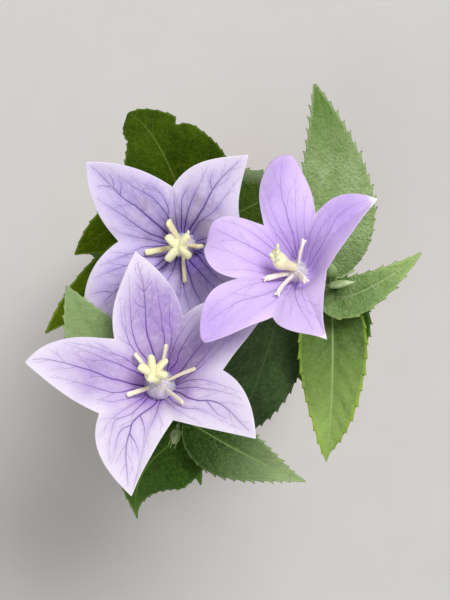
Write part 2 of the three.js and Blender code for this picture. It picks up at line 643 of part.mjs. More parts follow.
// Blooms: each lobe has its tip and the sinus that follows it anticlockwise, as bearing and reach
// in the bloom's own plane, and how far its two margins bulge
const blooms = {
  a: {
    ...bloomFrames.a,
    slope: 0.22,
    finish: paleLilac,
    lobes: [
      { tip: [100, 35.2], sinus: [137, 16], anticlockwise: [0.08, 0.16],
        clockwise: [0.1, 0.17], arch: -0.5 },
      { tip: [175, 35.1], sinus: [215, 17.9], anticlockwise: [0.04, 0.08],
        clockwise: [0.24, 0.11], arch: 0.2 },
      { tip: [263, 34], sinus: [293, 13], anticlockwise: [-0.03, 0],
        clockwise: [0.14, 0.24] },
      { tip: [326, 33.7], sinus: [364, 18.3], anticlockwise: [0.13, 0.19],
        clockwise: [0, 0.04] },
      { tip: [30, 34.9], sinus: [67, 18], anticlockwise: [0.12, 0.27],
        clockwise: [0.05, 0.01], curl: 2 },
    ],
    domeRadius: 4, domeHeight: 5.2,
    filaments: [[212, 8.9, 7.9], [10, 10.9, 9.8], [316, 10.8, 9.7], [74, 9.4, 9], [131, 9, 8.6]],
    styleFoot: 5.9, styleTop: 12, styleRadius: 1.15,
    stigma: [[154, 4.1, 0.6, 0.95], [99, 4.6, 0.8, 0.95], [45, 4.9, 0.8, 0.95],
      [347, 3.7, 0.4, 0.9], [256, 2.2, 0.2, 0.9]],
  },
  b: {
    ...bloomFrames.b,
    slope: 0.16,
    finish: greyLilac,
    lobes: [
      { tip: [137, 35], sinus: [175, 17.3], anticlockwise: [0.12, 0.13],
        clockwise: [0.11, 0.12], arch: 0.3 },
      { tip: [221, 35.5], sinus: [253, 18], anticlockwise: [0.12, 0.15],
        clockwise: [0.18, 0.23], curl: 2.5 },
      { tip: [286, 32], sinus: [318, 18.5], anticlockwise: [0.1, 0.15],
        clockwise: [0.1, 0.15] },
      { tip: [352, 31], sinus: [382, 18.7], anticlockwise: [0.1, 0.15],
        clockwise: [0.1, 0.15], curl: 2 },
      { tip: [52, 32.4], sinus: [96, 16.8], anticlockwise: [0.1, 0.24],
        clockwise: [-0.03, -0.12], arch: 0.3 },
    ],
    domeRadius: 3.4, domeHeight: 4.6,
    filaments: [[189, 10, 8.7, 1.4], [278, 10.1, 8.8, 1.1], [0, 6.4, 5, 1.2], [113, 8, 7.2, 1.2],
      [62, 4.6, 5.2]],
    styleFoot: 5.3, styleTop: 10.8, styleRadius: 1.3,
    stigma: [[133, 4.3, 0.6, 1.25], [49, 4.5, 0.6, 1.2], [322, 4.4, 0.6, 1.25],
      [230, 4.7, 0.6, 1.3]],
  },
  c: {
    ...bloomFrames.c,
    slope: 0.3,
    finish: violetLilac,
    lobes: [
      { tip: [93, 31.6], sinus: [125.5, 12.9], anticlockwise: [0.34, 0.2],
        clockwise: [0.07, 0.11], curl: 4, arch: -1.5 },
      { tip: [164, 25.6], sinus: [200.5, 14.6], anticlockwise: [0.18, 0.34],
        clockwise: [0.51, 0.17], curl: 4 },
      { tip: [230, 33.4], sinus: [258, 17.8], anticlockwise: [0.07, 0.05],
        clockwise: [0.18, 0.34], curl: 2 },
      { tip: [293.7, 28.6], sinus: [342.7, 9.5], anticlockwise: [-0.08, 0.02],
        clockwise: [0.03, 0.24] },
      { tip: [29.8, 27.2], sinus: [63.6, 14.1], anticlockwise: [0.22, 0.28],
        clockwise: [0.03, 0.08], tilt: -1 },
    ],
    domeRadius: 2.8, domeHeight: 4.2,
    filaments: [[69, 7.6, 7.4], [210, 8.8, 8.4], [254, 10.6, 10.2], [310, 5.4, 6.2, 1.5],
      [140, 4.4, 5]],
    styleFoot: 4.9, styleTop: 15.6, styleRadius: 1.25, styleSwell: 0.35,
    stigma: [[20, 0.9, 1.4, 0.6], [110, 0.9, 1.8, 0.6], [200, 0.9, 1.5, 0.6],
      [290, 0.9, 1.2, 0.6]],
  },
};

// Buds: the first two stand on the shoot's tip, the third leaves the side of its stem
const shootTop = vec([37.1, 0.6, 190 + GAP]);
const buds = [
  { name: 'bud_round', foot: shootTop.clone().add(vec([-0.6, 0.5, 0.25])), top: [35, 4.6, 201],
    radius: 2, stalkShare: 0.4 },
  { name: 'bud_slim', foot: shootTop.clone().add(vec([0.6, -0.5, 0.2])), top: [36.6, -2.4, 203],
    radius: 1.1, stalkShare: 0.35 },
  { name: 'bud_front', foot: attachment(stemCurves.a, 181, vec([-10, -48, 188]),
    GAP + STALK_RADIUS), top: [-10.5, -47, 192], radius: 1.5, stalkShare: 0.4 },
];

// Assembly

place(plant, 'pot', potGeometry(), clay);
place(plant, 'soil', soilGeometry(Object.values(stemPaths).map((path) => path[0])), earth);

for (const [name, curve] of Object.entries(stemCurves)) {
  const taper = (t) => STEM_RADIUS * (1 - STEM_TAPER * t);
  const geometry = tube(curve, taper, STEM_SIDES, STEM_STEPS);
  place(plant, `stem_${name}`, geometry, stemGreen);
}

for (const leaf of [...seenLeaves, ...lowerLeaves]) {
  const base = attachment(stemCurves[leaf.stem], leaf.z, vec(leaf.bend), leaf.clear ?? 0.5);
  const shape = { ...leaf, bend: vec(leaf.bend).sub(base), tip: vec(leaf.tip).sub(base) };
  const mesh = place(plant, leaf.name, leafGeometry(shape, new THREE.Vector3()), leaf.finish);
  mesh.position.copy(base);
}

for (const [name, bloom] of Object.entries(blooms)) {
  const head = new THREE.Group();
  head.position.set(...bloom.base);
  head.quaternion.setFromUnitVectors(UP, vec(bloom.axis).normalize());
  plant.add(head);
  place(head, `corolla_${name}`, corollaGeometry(bloom), bloom.finish);
  place(head, `calyx_${name}`, calyxGeometry(bloom), calyxGreen);
  place(head, `stamens_${name}`, stamensGeometry(bloom), stamenCream);
  place(head, `style_${name}`, styleGeometry(bloom), styleYellow);
}

for (const bud of buds) {
  const geometry = budGeometry(bud.foot, vec(bud.top), bud.radius, bud.stalkShare);
  place(plant, bud.name, geometry, budGreen);
}

export default plant;
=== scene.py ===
# Potted balloon flower: three open blooms and their leafy shoots in a clay pot.
# Lengths are in millimetres until a mesh is made, which is in metres.

import math

import bpy
import numpy as np
from mathutils import Matrix, Vector


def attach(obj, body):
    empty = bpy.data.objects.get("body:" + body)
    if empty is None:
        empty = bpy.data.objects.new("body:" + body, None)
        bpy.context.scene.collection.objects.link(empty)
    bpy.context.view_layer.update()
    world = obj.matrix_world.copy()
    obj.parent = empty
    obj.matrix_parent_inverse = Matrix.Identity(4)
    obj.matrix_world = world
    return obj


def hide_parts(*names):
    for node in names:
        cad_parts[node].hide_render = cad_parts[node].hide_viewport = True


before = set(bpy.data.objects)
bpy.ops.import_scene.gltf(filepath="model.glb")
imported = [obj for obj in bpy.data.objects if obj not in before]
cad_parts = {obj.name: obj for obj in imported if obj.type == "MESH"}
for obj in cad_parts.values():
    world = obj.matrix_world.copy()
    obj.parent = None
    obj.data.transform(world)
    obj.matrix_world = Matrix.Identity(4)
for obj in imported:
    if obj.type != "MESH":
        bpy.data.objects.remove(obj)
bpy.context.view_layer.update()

MM = 0.001
TURN = 2 * math.pi
UP = np.array([0.0, 0.0, 1.0])
# How far a tube's end bulges, as a share of its radius
TUBE_CAP = 0.3

# The photograph: 1500 pixels to one length of distance, in a frame 600 pixels high
FOCAL_PX = 1500
FRAME_HEIGHT_PX = 600
CENTRE_PX = (225, 300)
CAMERA_PLACE = (5, -4, 625)
SENSOR_HEIGHT = 24

# Pot and soil
POT_HEIGHT = 80
POT_RIM_RADIUS = 44
POT_BAND_HEIGHT = 16
POT_BAND_STEP = 2.6
POT_BAND_FOOT = POT_HEIGHT - POT_BAND_HEIGHT
POT_FOOT_RADIUS = 30
POT_WALL = 4.4
POT_FLOOR = 5
POT_EDGE_ROUNDING = 1.5
POT_SIDES = 96
DRAIN_COUNT = 3
DRAIN_RADIUS = 3.2
DRAIN_CIRCLE_RADIUS = 15
SOIL_TOP = 69
SOIL_RINGS = 26
SOIL_SIDES = 90
CRUMB_COUNT = 900
CRUMB_CLEARANCE = 3.2
SOIL_SEED = 77
GAP = 0.32

# Stems
STEM_RADIUS = 1.35
STEM_FOOT_Z = 50
STEM_TAPER = 0.12
STEM_STEPS = 110
STEM_SIDES = 14
NODE_SWELLING = 0.16
STALK_RADIUS = 0.55

# Leaves
LEAF_THICKNESS = 0.55
LEAF_SEED = 500
SIDE_VEIN_SPACING = 7
CREASE_DEPTH = 0.32
ROOT_HALF_WIDTH = 0.9
TIP_HALF_WIDTH = 0.12
LOWER_LIFT = 9
LEAF_FORM = dict(
    clear=0.5, outer_bend=[], belly=0.4, fullness=1, taper=0, sides=(1, 1), blunt=0, nick=(0, 0),
    curl=0, fold=0.18, wave=0.5, quilt=0.26, tooth=0.85, tooth_spacing=3.1, half_columns=11)

# Blooms
THROAT_FLOOR_RADIUS = 3
BOWL_DEPTH = 7.5
BOWL_SPREAD = 5.5
CALYX_HEIGHT = 8
CALYX_RADIUS = 4.3
CALYX_SIDES = 50
SEPAL_ROOT = 2.7
SEPAL_REACH = 9.2
SEPAL_HALF_WIDTH = 2.3
SEPAL_CLEARANCE = 2.2
SEPAL_THICKNESS = 0.55
PETAL_THICKNESS = 0.55
MARGIN_THICKNESS = 0.22
MARGIN_WIDTH = 4
GROOVE_DEPTH = 0.35
PLEAT_DEPTH = 0.6
PETAL_SWAY = 0.22
WHITE_TIP_WIDTH = 14
LOBE_DEFAULTS = dict(arch=0.7, tilt=0, curl=0, blunt=0, white_tip=0)
VEIN_SEEDS = {"a": 11, "b": 23, "c": 37}

# Stamens and styles
HEART_SEED = 900
DOME_CROWN = 0.02
FILAMENT_RADIUS = 0.66
FORK_RADIUS = 0.48
HAIR_COUNT = 1300
HAIR_RADIUS = 0.04
DEW_COUNT = 16
STYLE_HAIRS = 260
STYLE_HAIR_RADIUS = 0.06


# Meshes

def mesh_object(name, points, faces, values, flat_from=None):
    """A smooth mesh from points in millimetres. `values` holds a list for each attribute, and
    faces from number `flat_from` on stay flat."""
    mesh = bpy.data.meshes.new(name)
    mesh.from_pydata((np.asarray(points) * MM).tolist(), [], faces)
    smooth = np.ones(len(faces), bool)
    if flat_from is not None:
        smooth[flat_from:] = False
    mesh.polygons.foreach_set("use_smooth", smooth)
    for key, numbers in values.items():
        layer = mesh.attributes.new(key, "FLOAT", "POINT")
        layer.data.foreach_set("value", np.asarray(numbers, np.float32))
    mesh.update()
    piece = bpy.data.objects.new(name, mesh)
    bpy.context.scene.collection.objects.link(piece)
    return piece


def join_parts(parts):
    """Joins (points, faces, values) parts in one set. Every part has the same attributes."""
    points, faces, values = [], [], {}
    count = 0
    for part_points, part_faces, part_values in parts:
        points.append(np.asarray(part_points, float))
        faces.extend([tuple(i + count for i in face) for face in part_faces])
        for key, numbers in part_values.items():
            values.setdefault(key, []).append(np.asarray(numbers, float))
        count += len(part_points)
    joined = {key: np.concatenate(lists) for key, lists in values.items()}
    return np.concatenate(points), faces, joined


def grid_faces(rows, columns, start=0, wrap=False, flip=False):
    """Quads of a grid whose points run along its columns first."""
    faces = []
    for k in range(rows - 1):
        for j in range(columns if wrap else columns - 1):
            a = start + k * columns + j
            b = start + k * columns + (j + 1) % columns
            face = (a, b, b + columns, a + columns)
            faces.append(face[::-1] if flip else face)
    return faces


def capped_faces(rows, sides):
    """Faces of a ring grid with a flat cap at both ends."""
    last = (rows - 1) * sides
    return grid_faces(rows, sides, wrap=True) + [tuple(range(sides))[::-1],
                                                 tuple(range(last, last + sides))]


def ring(sides):
    """Bearings evenly spaced round a circle."""
    return np.arange(sides) * TURN / sides


def ring_points(radii, heights, angles):
    """Points of level rings round the axis. Rows hold the rings."""
    spots = np.broadcast_arrays(radii * np.cos(angles), radii * np.sin(angles), heights)
    return np.stack(spots, 2).reshape(-1, 3)


def unit(vector):
    vector = np.asarray(vector, float)
    return vector / np.linalg.norm(vector)


def unit_rows(vectors):
    return vectors / np.linalg.norm(vectors, axis=1)[:, None]


def polar(bearing, reach):
    """A point of the plane from its bearing in degrees and its reach."""
    angle = math.radians(bearing)
    return np.array([math.cos(angle), math.sin(angle)]) * reach


def across(direction):
    """Two unit vectors square to a direction."""
    direction = unit(direction)
    helper = (1, 0, 0) if abs(direction[0]) < 0.8 else (0, 1, 0)
    first = unit(np.cross(direction, helper))
    return first, np.cross(direction, first)


def tube_part(centres, radii, sides, squash=1.0, bumps=0.0):
    """A closed tube along the centres, with its place 0 to 1 as the attribute `along`."""
    centres, radii = np.asarray(centres, float), np.asarray(radii, float)
    steps = len(centres)
    tangents = unit_rows(np.gradient(centres, axis=0))
    cosines, sines = np.cos(ring(sides))[:, None], np.sin(ring(sides))[:, None]
    first, _ = across(tangents[0])
    spokes = []
    for tangent in tangents:
        first = unit(first - tangent * np.dot(first, tangent))
        spokes.append(first * cosines + np.cross(tangent, first) * sines * squash)
    reaches = radii[:, None] * (np.ones((steps, sides)) + bumps)
    skin = centres[:, None] + np.array(spokes) * reaches[..., None]
    caps = [centres[k] + sign * TUBE_CAP * radii[k] * tangents[k] for k, sign in ((0, -1), (-1, 1))]
    faces = grid_faces(steps, sides, wrap=True)
    start = steps * sides
    top = start - sides
    for j in range(sides):
        following = (j + 1) % sides
        faces += [(start, following, j), (start + 1, top + j, top + following)]
    along = np.append(np.repeat(np.linspace(0, 1, steps), sides), [0, 1])
    points = np.concatenate([skin.reshape(-1, 3), caps])
    return points, faces, {"along": along, "down": np.zeros(len(along))}


def sheet_part(top, thickness, values):
    """A closed sheet from a grid of top points, with its thickness at each point."""
    rows, columns, _ = top.shape
    normals = np.cross(np.gradient(top, axis=1), np.gradient(top, axis=0)).reshape(-1, 3)
    count = rows * columns
    flat = top.reshape(-1, 3)
    points = np.concatenate([flat, flat - unit_rows(normals) * np.reshape(thickness, (-1, 1))])
    faces = grid_faces(rows, columns) + grid_faces(rows, columns, count, flip=True)
    rim = list(range(columns))
    rim += [k * columns + columns - 1 for k in range(1, rows)]
    rim += [(rows - 1) * columns + j for j in range(columns - 2, -1, -1)]
    rim += [k * columns for k in range(rows - 2, 0, -1)]
    for a, b in zip(rim, rim[1:] + rim[:1]):
        faces.append((b, a, count + a, count + b))
    return points, faces, {key: np.tile(numbers, 2) for key, numbers in values.items()}


# Curves

def catmull_rom(path):
    """A centripetal spline through the path's points, as a function of 0 to 1."""
    points = np.asarray(path, float)
    before = 2 * points[0] - points[1]
    after = 2 * points[-1] - points[-2]
    padded = np.concatenate([[before], points, [after]])
    spans = len(points) - 1

    def place(t):
        i = min(int(t * spans), spans - 1)
        s = t * spans - i
        marks = padded[i:i + 4]
        d0, d1, d2 = [math.sqrt(np.linalg.norm(b - a)) for a, b in zip(marks, marks[1:])]
        p0, p1, p2, p3 = marks
        m1 = ((p1 - p0) / d0 - (p2 - p0) / (d0 + d1) + (p2 - p1) / d1) * d1
        m2 = ((p2 - p1) / d1 - (p3 - p1) / (d1 + d2) + (p3 - p2) / d2) * d1
        c2 = -3 * p1 + 3 * p2 - 2 * m1 - m2
        c3 = 2 * p1 - 2 * p2 + m1 + m2
        return p1 + m1 * s + c2 * s * s + c3 * s ** 3

    return place


def bezier(*marks):
    """A curve from the first mark to the last, drawn towards those between them."""
    marks = [np.asarray(mark, float) for mark in marks]

    def place(t):
        points = marks
        while len(points) > 1:
            points = [(1 - t) * a + t * b for a, b in zip(points, points[1:])]
        return points[0]

    return place


def path_lengths(points):
    return np.linalg.norm(np.diff(points, axis=0), axis=1)


def even_points(curve, count):
    """Points evenly spaced along a curve, or at the shares of its length that `count` lists."""
    marks = np.linspace(0, 1, 201)
    samples = np.array([curve(t) for t in marks])
    lengths = np.append(0, np.cumsum(path_lengths(samples)))
    wanted = np.asarray(count) if np.ndim(count) else np.linspace(0, 1, count)
    return np.array([curve(t) for t in np.interp(wanted * lengths[-1], lengths, marks)])


# The plant's plan, in the pot's frame

BLOOM_FRAMES = {
    "a": {"base": (-12.5, -27.8, 214), "axis": (-0.128, 0.352, 0.927)},
    "b": {"base": (-6.7, 11.7, 196), "axis": (-0.128, -0.09, 0.988)},
    "c": {"base": (24.6, 2.7, 222), "axis": (-0.25, 0.433, 0.866)},
}


def stem_top(name, back=0):
    """The point on a bloom's axis where its stem ends, or one further back."""
    place = BLOOM_FRAMES[name]
    return tuple(np.array(place["base"]) - unit(place["axis"]) * (CALYX_HEIGHT + GAP + back))


def stem_foot(x, y):
    """A stem's foot stands upright in the soil."""
    return [(x, y, STEM_FOOT_Z + rise) for rise in (0, 12, 24)]


STEM_PATHS = {
    "a": stem_foot(-4, -14) + [(-4, -24, 110), (-5.5, -34.5, 145), (-7.5, -38.5, 170),
                               (-9.3, -37.6, 189), stem_top("a", 4), stem_top("a")],
    "b": stem_foot(-4, 9) + [(-5, 12, 115), (-4, 14.5, 150), (-4.5, 13.8, 174),
                             stem_top("b", 4), stem_top("b")],
    "c": stem_foot(9, -3) + [(14, -4, 120), (21, -4, 160), (26.6, -4.8, 187),
                             stem_top("c", 5), stem_top("c")],
    "d": stem_foot(13, 8) + [(20, 9, 110), (29, 8, 140), (34.5, 4.5, 165), (36.9, 1.2, 184),
                             (37.1, 0.6, 190)],
}
STEM_CURVES = {name: catmull_rom(path) for name, path in STEM_PATHS.items()}


def attachment(stem, height, toward, clear):
    """Where a leaf or stalk leaves its stem, `clear` away from the stem's surface."""
    curve = STEM_CURVES[stem]
    low, high = 0.0, 1.0
    for _ in range(30):
        middle = (low + high) / 2
        if curve(middle)[2] < height:
            low = middle
        else:
            high = middle
    point = curve(low)
    along = unit(curve(min(1, low + 1e-4)) - curve(max(0, low - 1e-4)))
    out = np.asarray(toward, float) - point
    out = unit(out - along * np.dot(out, along))
    return point + out * (STEM_RADIUS * (1 - STEM_TAPER * low) + clear)


# Materials

def colour(red, green, blue):
    """A screen colour of 0 to 255 as the linear one that a shader takes."""
    shares = [value / 255 for value in (red, green, blue)]
    return *[share / 12.92 if share <= 0.04045 else ((share + 0.055) / 1.055) ** 2.4
             for share in shares], 1.0


class Shader:
    """A short way to write a node material. Tuples given to its mixes are screen colours."""

    def __init__(self, name):
        self.material = bpy.data.materials.new(name)
        self.material.use_nodes = True
        self.tree = self.material.node_tree
        self.surface = self.tree.nodes["Principled BSDF"]

    def connect(self, value, socket):
        if isinstance(value, bpy.types.NodeSocket):
            self.tree.links.new(value, socket)
        else:
            socket.default_value = value

    def add(self, kind, inputs=None, **settings):
        node = self.tree.nodes.new(kind)
        for key, value in settings.items():
            setattr(node, key, value)
        for key, value in (inputs or {}).items():
            self.connect(value, node.inputs[key])
        return node

    def set(self, **inputs):
        for key, value in inputs.items():
            self.connect(value, self.surface.inputs[key.replace("_", " ")])

    def attributes(self, *names):
        """The mesh attributes with these names."""
        return [self.add("ShaderNodeAttribute", attribute_name=name).outputs["Fac"]
                for name in names]

    def place(self):
        return self.add("ShaderNodeTexCoord").outputs["Object"]

    def stretch(self, scale):
        """The object's own place, scaled along each axis."""
        inputs = {"Vector": self.place(), "Scale": scale}
        return self.add("ShaderNodeMapping", inputs).outputs[0]

    def warped(self, scale, amount):
        """The object's own place, shifted to and fro by up to `amount` millimetres."""
        drift = self.add("ShaderNodeTexNoise", {"Vector": self.place(), "Scale": scale})
        centred = self.add("ShaderNodeVectorMath", {0: drift.outputs["Color"], 1: (0.5,) * 3},
                           operation="SUBTRACT").outputs[0]
        shift = self.add("ShaderNodeVectorMath", {0: centred, 3: 2 * amount * MM},
                         operation="SCALE").outputs[0]
        return self.add("ShaderNodeVectorMath", {0: self.place(), 1: shift}).outputs[0]

    def math(self, operation, first, second=0.0):
        return self.add("ShaderNodeMath", {0: first, 1: second}, operation=operation).outputs[0]

    def times(self, first, *others):
        for other in others:
            first = self.math("MULTIPLY", first, other)
        return first

    def step(self, value, low, high, to_low=0.0, to_high=1.0):
        """A smooth step from one value to another."""
        inputs = {"Value": value, "From Min": low, "From Max": high,
                  "To Min": to_low, "To Max": to_high}
        return self.add("ShaderNodeMapRange", inputs, interpolation_type="SMOOTHSTEP").outputs[0]

    def layers(self, base, *covers):
        """A base colour under (share, colour) covers."""
        for share, cover in covers:
            node = self.add("ShaderNodeMix", data_type="RGBA")
            for index, value in ((0, share), (6, base), (7, cover)):
                shown = colour(*value) if isinstance(value, tuple) else value
                self.connect(shown, node.inputs[index])
            base = node.outputs[2]
        return base

    def noise(self, scale, detail=3.0, vector=None, roughness=0.55):
        inputs = {"Vector": vector or self.place(), "Scale": scale, "Detail": detail,
                  "Roughness": roughness}
        return self.add("ShaderNodeTexNoise", inputs).outputs["Fac"]

    def cells(self, scale, vector=None, feature="DISTANCE_TO_EDGE"):
        inputs = {"Vector": vector or self.place(), "Scale": scale}
        return self.add("ShaderNodeTexVoronoi", inputs, feature=feature).outputs["Distance"]

    def bump(self, *layers):
        """Bump from (height, strength, distance in millimetres) layers."""
        below = {}
        for height, strength, distance in layers:
            inputs = {"Height": height, "Strength": strength, "Distance": distance * MM, **below}
            below = {"Normal": self.add("ShaderNodeBump", inputs).outputs[0]}
        self.set(**below)


def petal_material(name, look):
    """Petals: pale margins, a violet throat, veins with a soft glow and a faint net."""
    shader = Shader(name)
    reach, edge, vein, glow, blush, stain, streak, tip, tone = shader.attributes(
        "reach", "edge", "vein", "glow", "blush", "stain", "streak", "tip", "tone")
    patches = shader.noise(150)
    mottle = shader.noise(700, 4.0)
    net = shader.step(shader.cells(900, shader.warped(1100, 0.9)), 0.0, 0.1, 1.0, 0.0)
    rim = shader.step(edge, 0.05, 0.5, look["rim_share"], 0.0)
    body = shader.layers(
        look["margin"],
        (shader.step(edge, 0.2, look["margin_width"]), look["body"]),
        # Violet patches: partly the petals' own colour, partly painted shade where a lobe slopes away
        # from the light and where it lies under another bloom.
        (shader.times(blush, shader.step(patches, 0.3, 0.7, 0.7, 1.0)), look["violet"]),
        (streak, look["throat"]),
        # Grey patches: stains on the petals, and a painted shadow where bloom c overhangs bloom b.
        (shader.times(stain, shader.step(patches, 0.35, 0.6, 0.2, 1.0)), STAIN_AND_SHADOW_COLOUR),
        (shader.step(reach, 0.02, look["throat_reach"], look["throat_share"], 0.0),
         look["throat"]),
        (shader.times(glow, look["glow_share"]), look["glow"]),
        (shader.times(net, look["net_share"]), look["glow"]),
        (shader.step(mottle, 0.45, 0.75, 0.0, 0.25), look["margin"]),
        (shader.times(shader.step(vein, 0.05, 0.9), tone, look["vein_share"]), look["vein"]),
        (shader.math("MAXIMUM", rim, tip), look["rim"]))
    shader.set(Base_Color=body, Roughness=0.6, Specular_IOR_Level=0.22, Subsurface_Weight=0.2,
               Subsurface_Scale=0.6 * MM, Subsurface_Radius=(0.8, 0.7, 1.0),
               Sheen_Weight=0.08, Sheen_Roughness=0.5)
    shader.bump((shader.noise(2600, 2.0), 0.3, 0.12), (shader.cells(1500), 0.2, 0.15),
                (mottle, 0.3, 0.4), (patches, 0.3, 0.8))
    return shader.material


def leaf_material(name, look):
    """Leaves: a pale midrib and side veins, a raised net, pale teeth and fine dots."""
    look = {**LEAF_DEFAULTS, "net": look["light"], **look}
    shader = Shader(name)
    rib, phase, edge, along = shader.attributes("rib", "phase", "edge", "along")
    aside = shader.math("ABSOLUTE", shader.math("SUBTRACT", shader.math("FRACT", phase), 0.5))
    patches = shader.noise(160, 4.0)
    fine = shader.noise(900)
    grain = shader.noise(2200, roughness=0.7)
    meshwork = shader.warped(1500, 0.5)
    net = shader.step(shader.cells(1250, meshwork), 0.0, 0.14, 1.0, 0.0)
    body = shader.layers(
        look["deep"],
        (shader.step(patches, 0.32, 0.68), look["body"]),
        (shader.step(fine, 0.4, 0.75, 0.0, 0.35), look["light"]),
        (shader.step(grain, 0.58, 0.7, 0.0, look["speck_share"]), look["light"]),
        (shader.times(net, look["net_share"]), look["net"]),
        (shader.times(shader.step(along, look["tip_from"], 1.0, 0.0, look["tip_share"]),
                      shader.step(patches, 0.3, 0.7, 0.85, 1.0)), look["tip"]),
        (shader.times(shader.step(aside, 0.0, 0.045, 0.75, 0.0), shader.step(edge, 0.2, 3.0),
                      look["vein_share"]), look["vein"]),
        (shader.times(shader.step(rib, 0.12, 0.42, 1.0, 0.0),
                      shader.step(along, 0.6, 1.0, 1.0, 0.35), look["rib_share"]), look["vein"]),
        (shader.step(edge, 0.1, look["rim_width"], look["rim_share"], 0.0), look["rim"]))
    roughness = shader.step(fine, 0.3, 0.7, look["roughness"] - 0.06, look["roughness"] + 0.08)
    shader.set(Base_Color=body, Roughness=roughness, Specular_IOR_Level=look["specular"],
               Subsurface_Weight=0.06, Subsurface_Scale=0.5 * MM,
               Subsurface_Radius=(0.6, 1.0, 0.3))
    relief = look["relief"]
    pillows = shader.math("SUBTRACT", 1.0, shader.cells(1250, meshwork, "SMOOTH_F1"))
    shader.bump((pillows, relief, 0.5), (grain, relief, 0.3), (fine, 0.6, 0.5),
                (patches, 0.3, 1.2))
    return shader.material


def stalk_material(name, foot, body, tip, speckle):
    """Stems, calyxes and buds: a tone that changes along the piece, with fine lengthwise streaks."""
    shader = Shader(name)
    along, = shader.attributes("along")
    streaks = shader.noise(1400, vector=shader.stretch((1, 1, 0.12)))
    base = shader.layers(foot, (shader.step(along, 0.0, 0.35), body),
                         (shader.step(along, 0.6, 1.0), tip),
                         (shader.step(streaks, 0.42, 0.7, 0.0, 0.45), speckle))
    shader.set(Base_Color=base, Roughness=0.5, Specular_IOR_Level=0.4,
               Subsurface_Weight=0.1, Subsurface_Scale=0.6 * MM)
    shader.bump((streaks, 0.3, 0.2), (shader.noise(3000, 2.0), 0.2, 0.1))
    return shader.material


def downy_material(name, body, shade, root, relief):
    """Stamens and stigmas: granular and downy, with painted shade in the grain's hollows, darker at
    the root.
    """
    shader = Shader(name)
    along, down = shader.attributes("along", "down")
    grains = shader.noise(2400)
    # The shade tone fills the hollows of the grain bump: painted shade.
    base = shader.layers(shade, (shader.step(grains, 0.35, 0.65), body),
                         (shader.step(along, 0.0, 0.3, 0.8, 0.0), root),
                         (shader.step(down, 0.5, 2.0), DOWN_COLOUR))
    shader.set(Base_Color=base, Roughness=0.8, Specular_IOR_Level=0.2,
               Subsurface_Weight=0.2, Subsurface_Scale=0.5 * MM, Sheen_Weight=0.3)
    shader.bump((grains, relief, 0.2))
    return shader.material


def clay_material():
    """Unglazed terracotta: patchy, with a chalky bloom, throwing lines and fine grit."""
    shader = Shader("clay")
    wear, = shader.attributes("wear")
    patches = shader.noise(28, 5.0)
    chalk = shader.noise(60, 6.0, roughness=0.7)
    grit = shader.noise(1800, 4.0)
    rings = shader.noise(420, vector=shader.stretch((0.02, 0.02, 1)))
    base = shader.layers(
        (168, 92, 58), (shader.step(patches, 0.3, 0.7), (196, 118, 78)),
        (shader.step(chalk, 0.55, 0.78, 0.0, 0.55), (222, 186, 160)),
        (shader.step(grit, 0.58, 0.75, 0.0, 0.35), (128, 68, 44)),
        (shader.times(wear, shader.step(chalk, 0.35, 0.6)), (214, 160, 126)))
    shader.set(Base_Color=base, Roughness=0.86, Specular_IOR_Level=0.25)
    shader.bump((rings, 0.35, 0.5), (grit, 0.35, 0.2), (chalk, 0.2, 0.4))
    return shader.material


def soil_material():
    """Moist peat with bark and pale grains, which the attribute `tone` tells apart."""
    shader = Shader("potting_soil")
    tone, = shader.attributes("tone")
    crumbs = shader.noise(700, 6.0, roughness=0.7)
    share = shader.step(crumbs, 0.3, 0.7)
    base = shader.layers(
        (30, 21, 15), (share, (70, 50, 36)),
        (shader.step(tone, 0.35, 0.6), shader.layers((74, 50, 32), (share, (124, 88, 58)))),
        (shader.step(tone, 0.9, 0.95), (206, 200, 188)))
    shader.set(Base_Color=base, Roughness=0.92, Specular_IOR_Level=0.2)
    shader.bump((crumbs, 0.7, 0.6))
    return shader.material


# Looks, in screen colours

DOWN_COLOUR = (252, 250, 246)
# Grey of the stains, also used for the painted shadow that bloom c casts on bloom b
STAIN_AND_SHADOW_COLOUR = (152, 134, 148)
PETAL_LOOKS = {
    "a": dict(body=(223, 209, 234), margin=(232, 224, 241), margin_width=5, violet=(149, 117, 187),
              throat=(174, 132, 222), glow=(174, 136, 222), vein=(88, 50, 150), rim=(246, 241, 250),
              rim_share=0.4, throat_reach=0.26, throat_share=0.4, glow_share=0.42, net_share=0.1,
              vein_share=0.98),
    "b": dict(body=(217, 204, 236), margin=(234, 225, 246), margin_width=5, violet=(160, 136, 204),
              throat=(142, 112, 218), glow=(140, 114, 204), vein=(56, 32, 124), rim=(240, 236, 250),
              rim_share=0.5, throat_reach=0.36, throat_share=0.3, glow_share=0.52, net_share=0.14,
              vein_share=0.98),
    "c": dict(body=(219, 194, 246), margin=(224, 201, 247), margin_width=4, violet=(180, 144, 226),
              throat=(188, 158, 224), glow=(184, 154, 232), vein=(112, 78, 176), rim=(252, 251, 253),
              rim_share=0.12, throat_reach=0.36, throat_share=0.2, glow_share=0.3, net_share=0.1,
              vein_share=0.85),
}
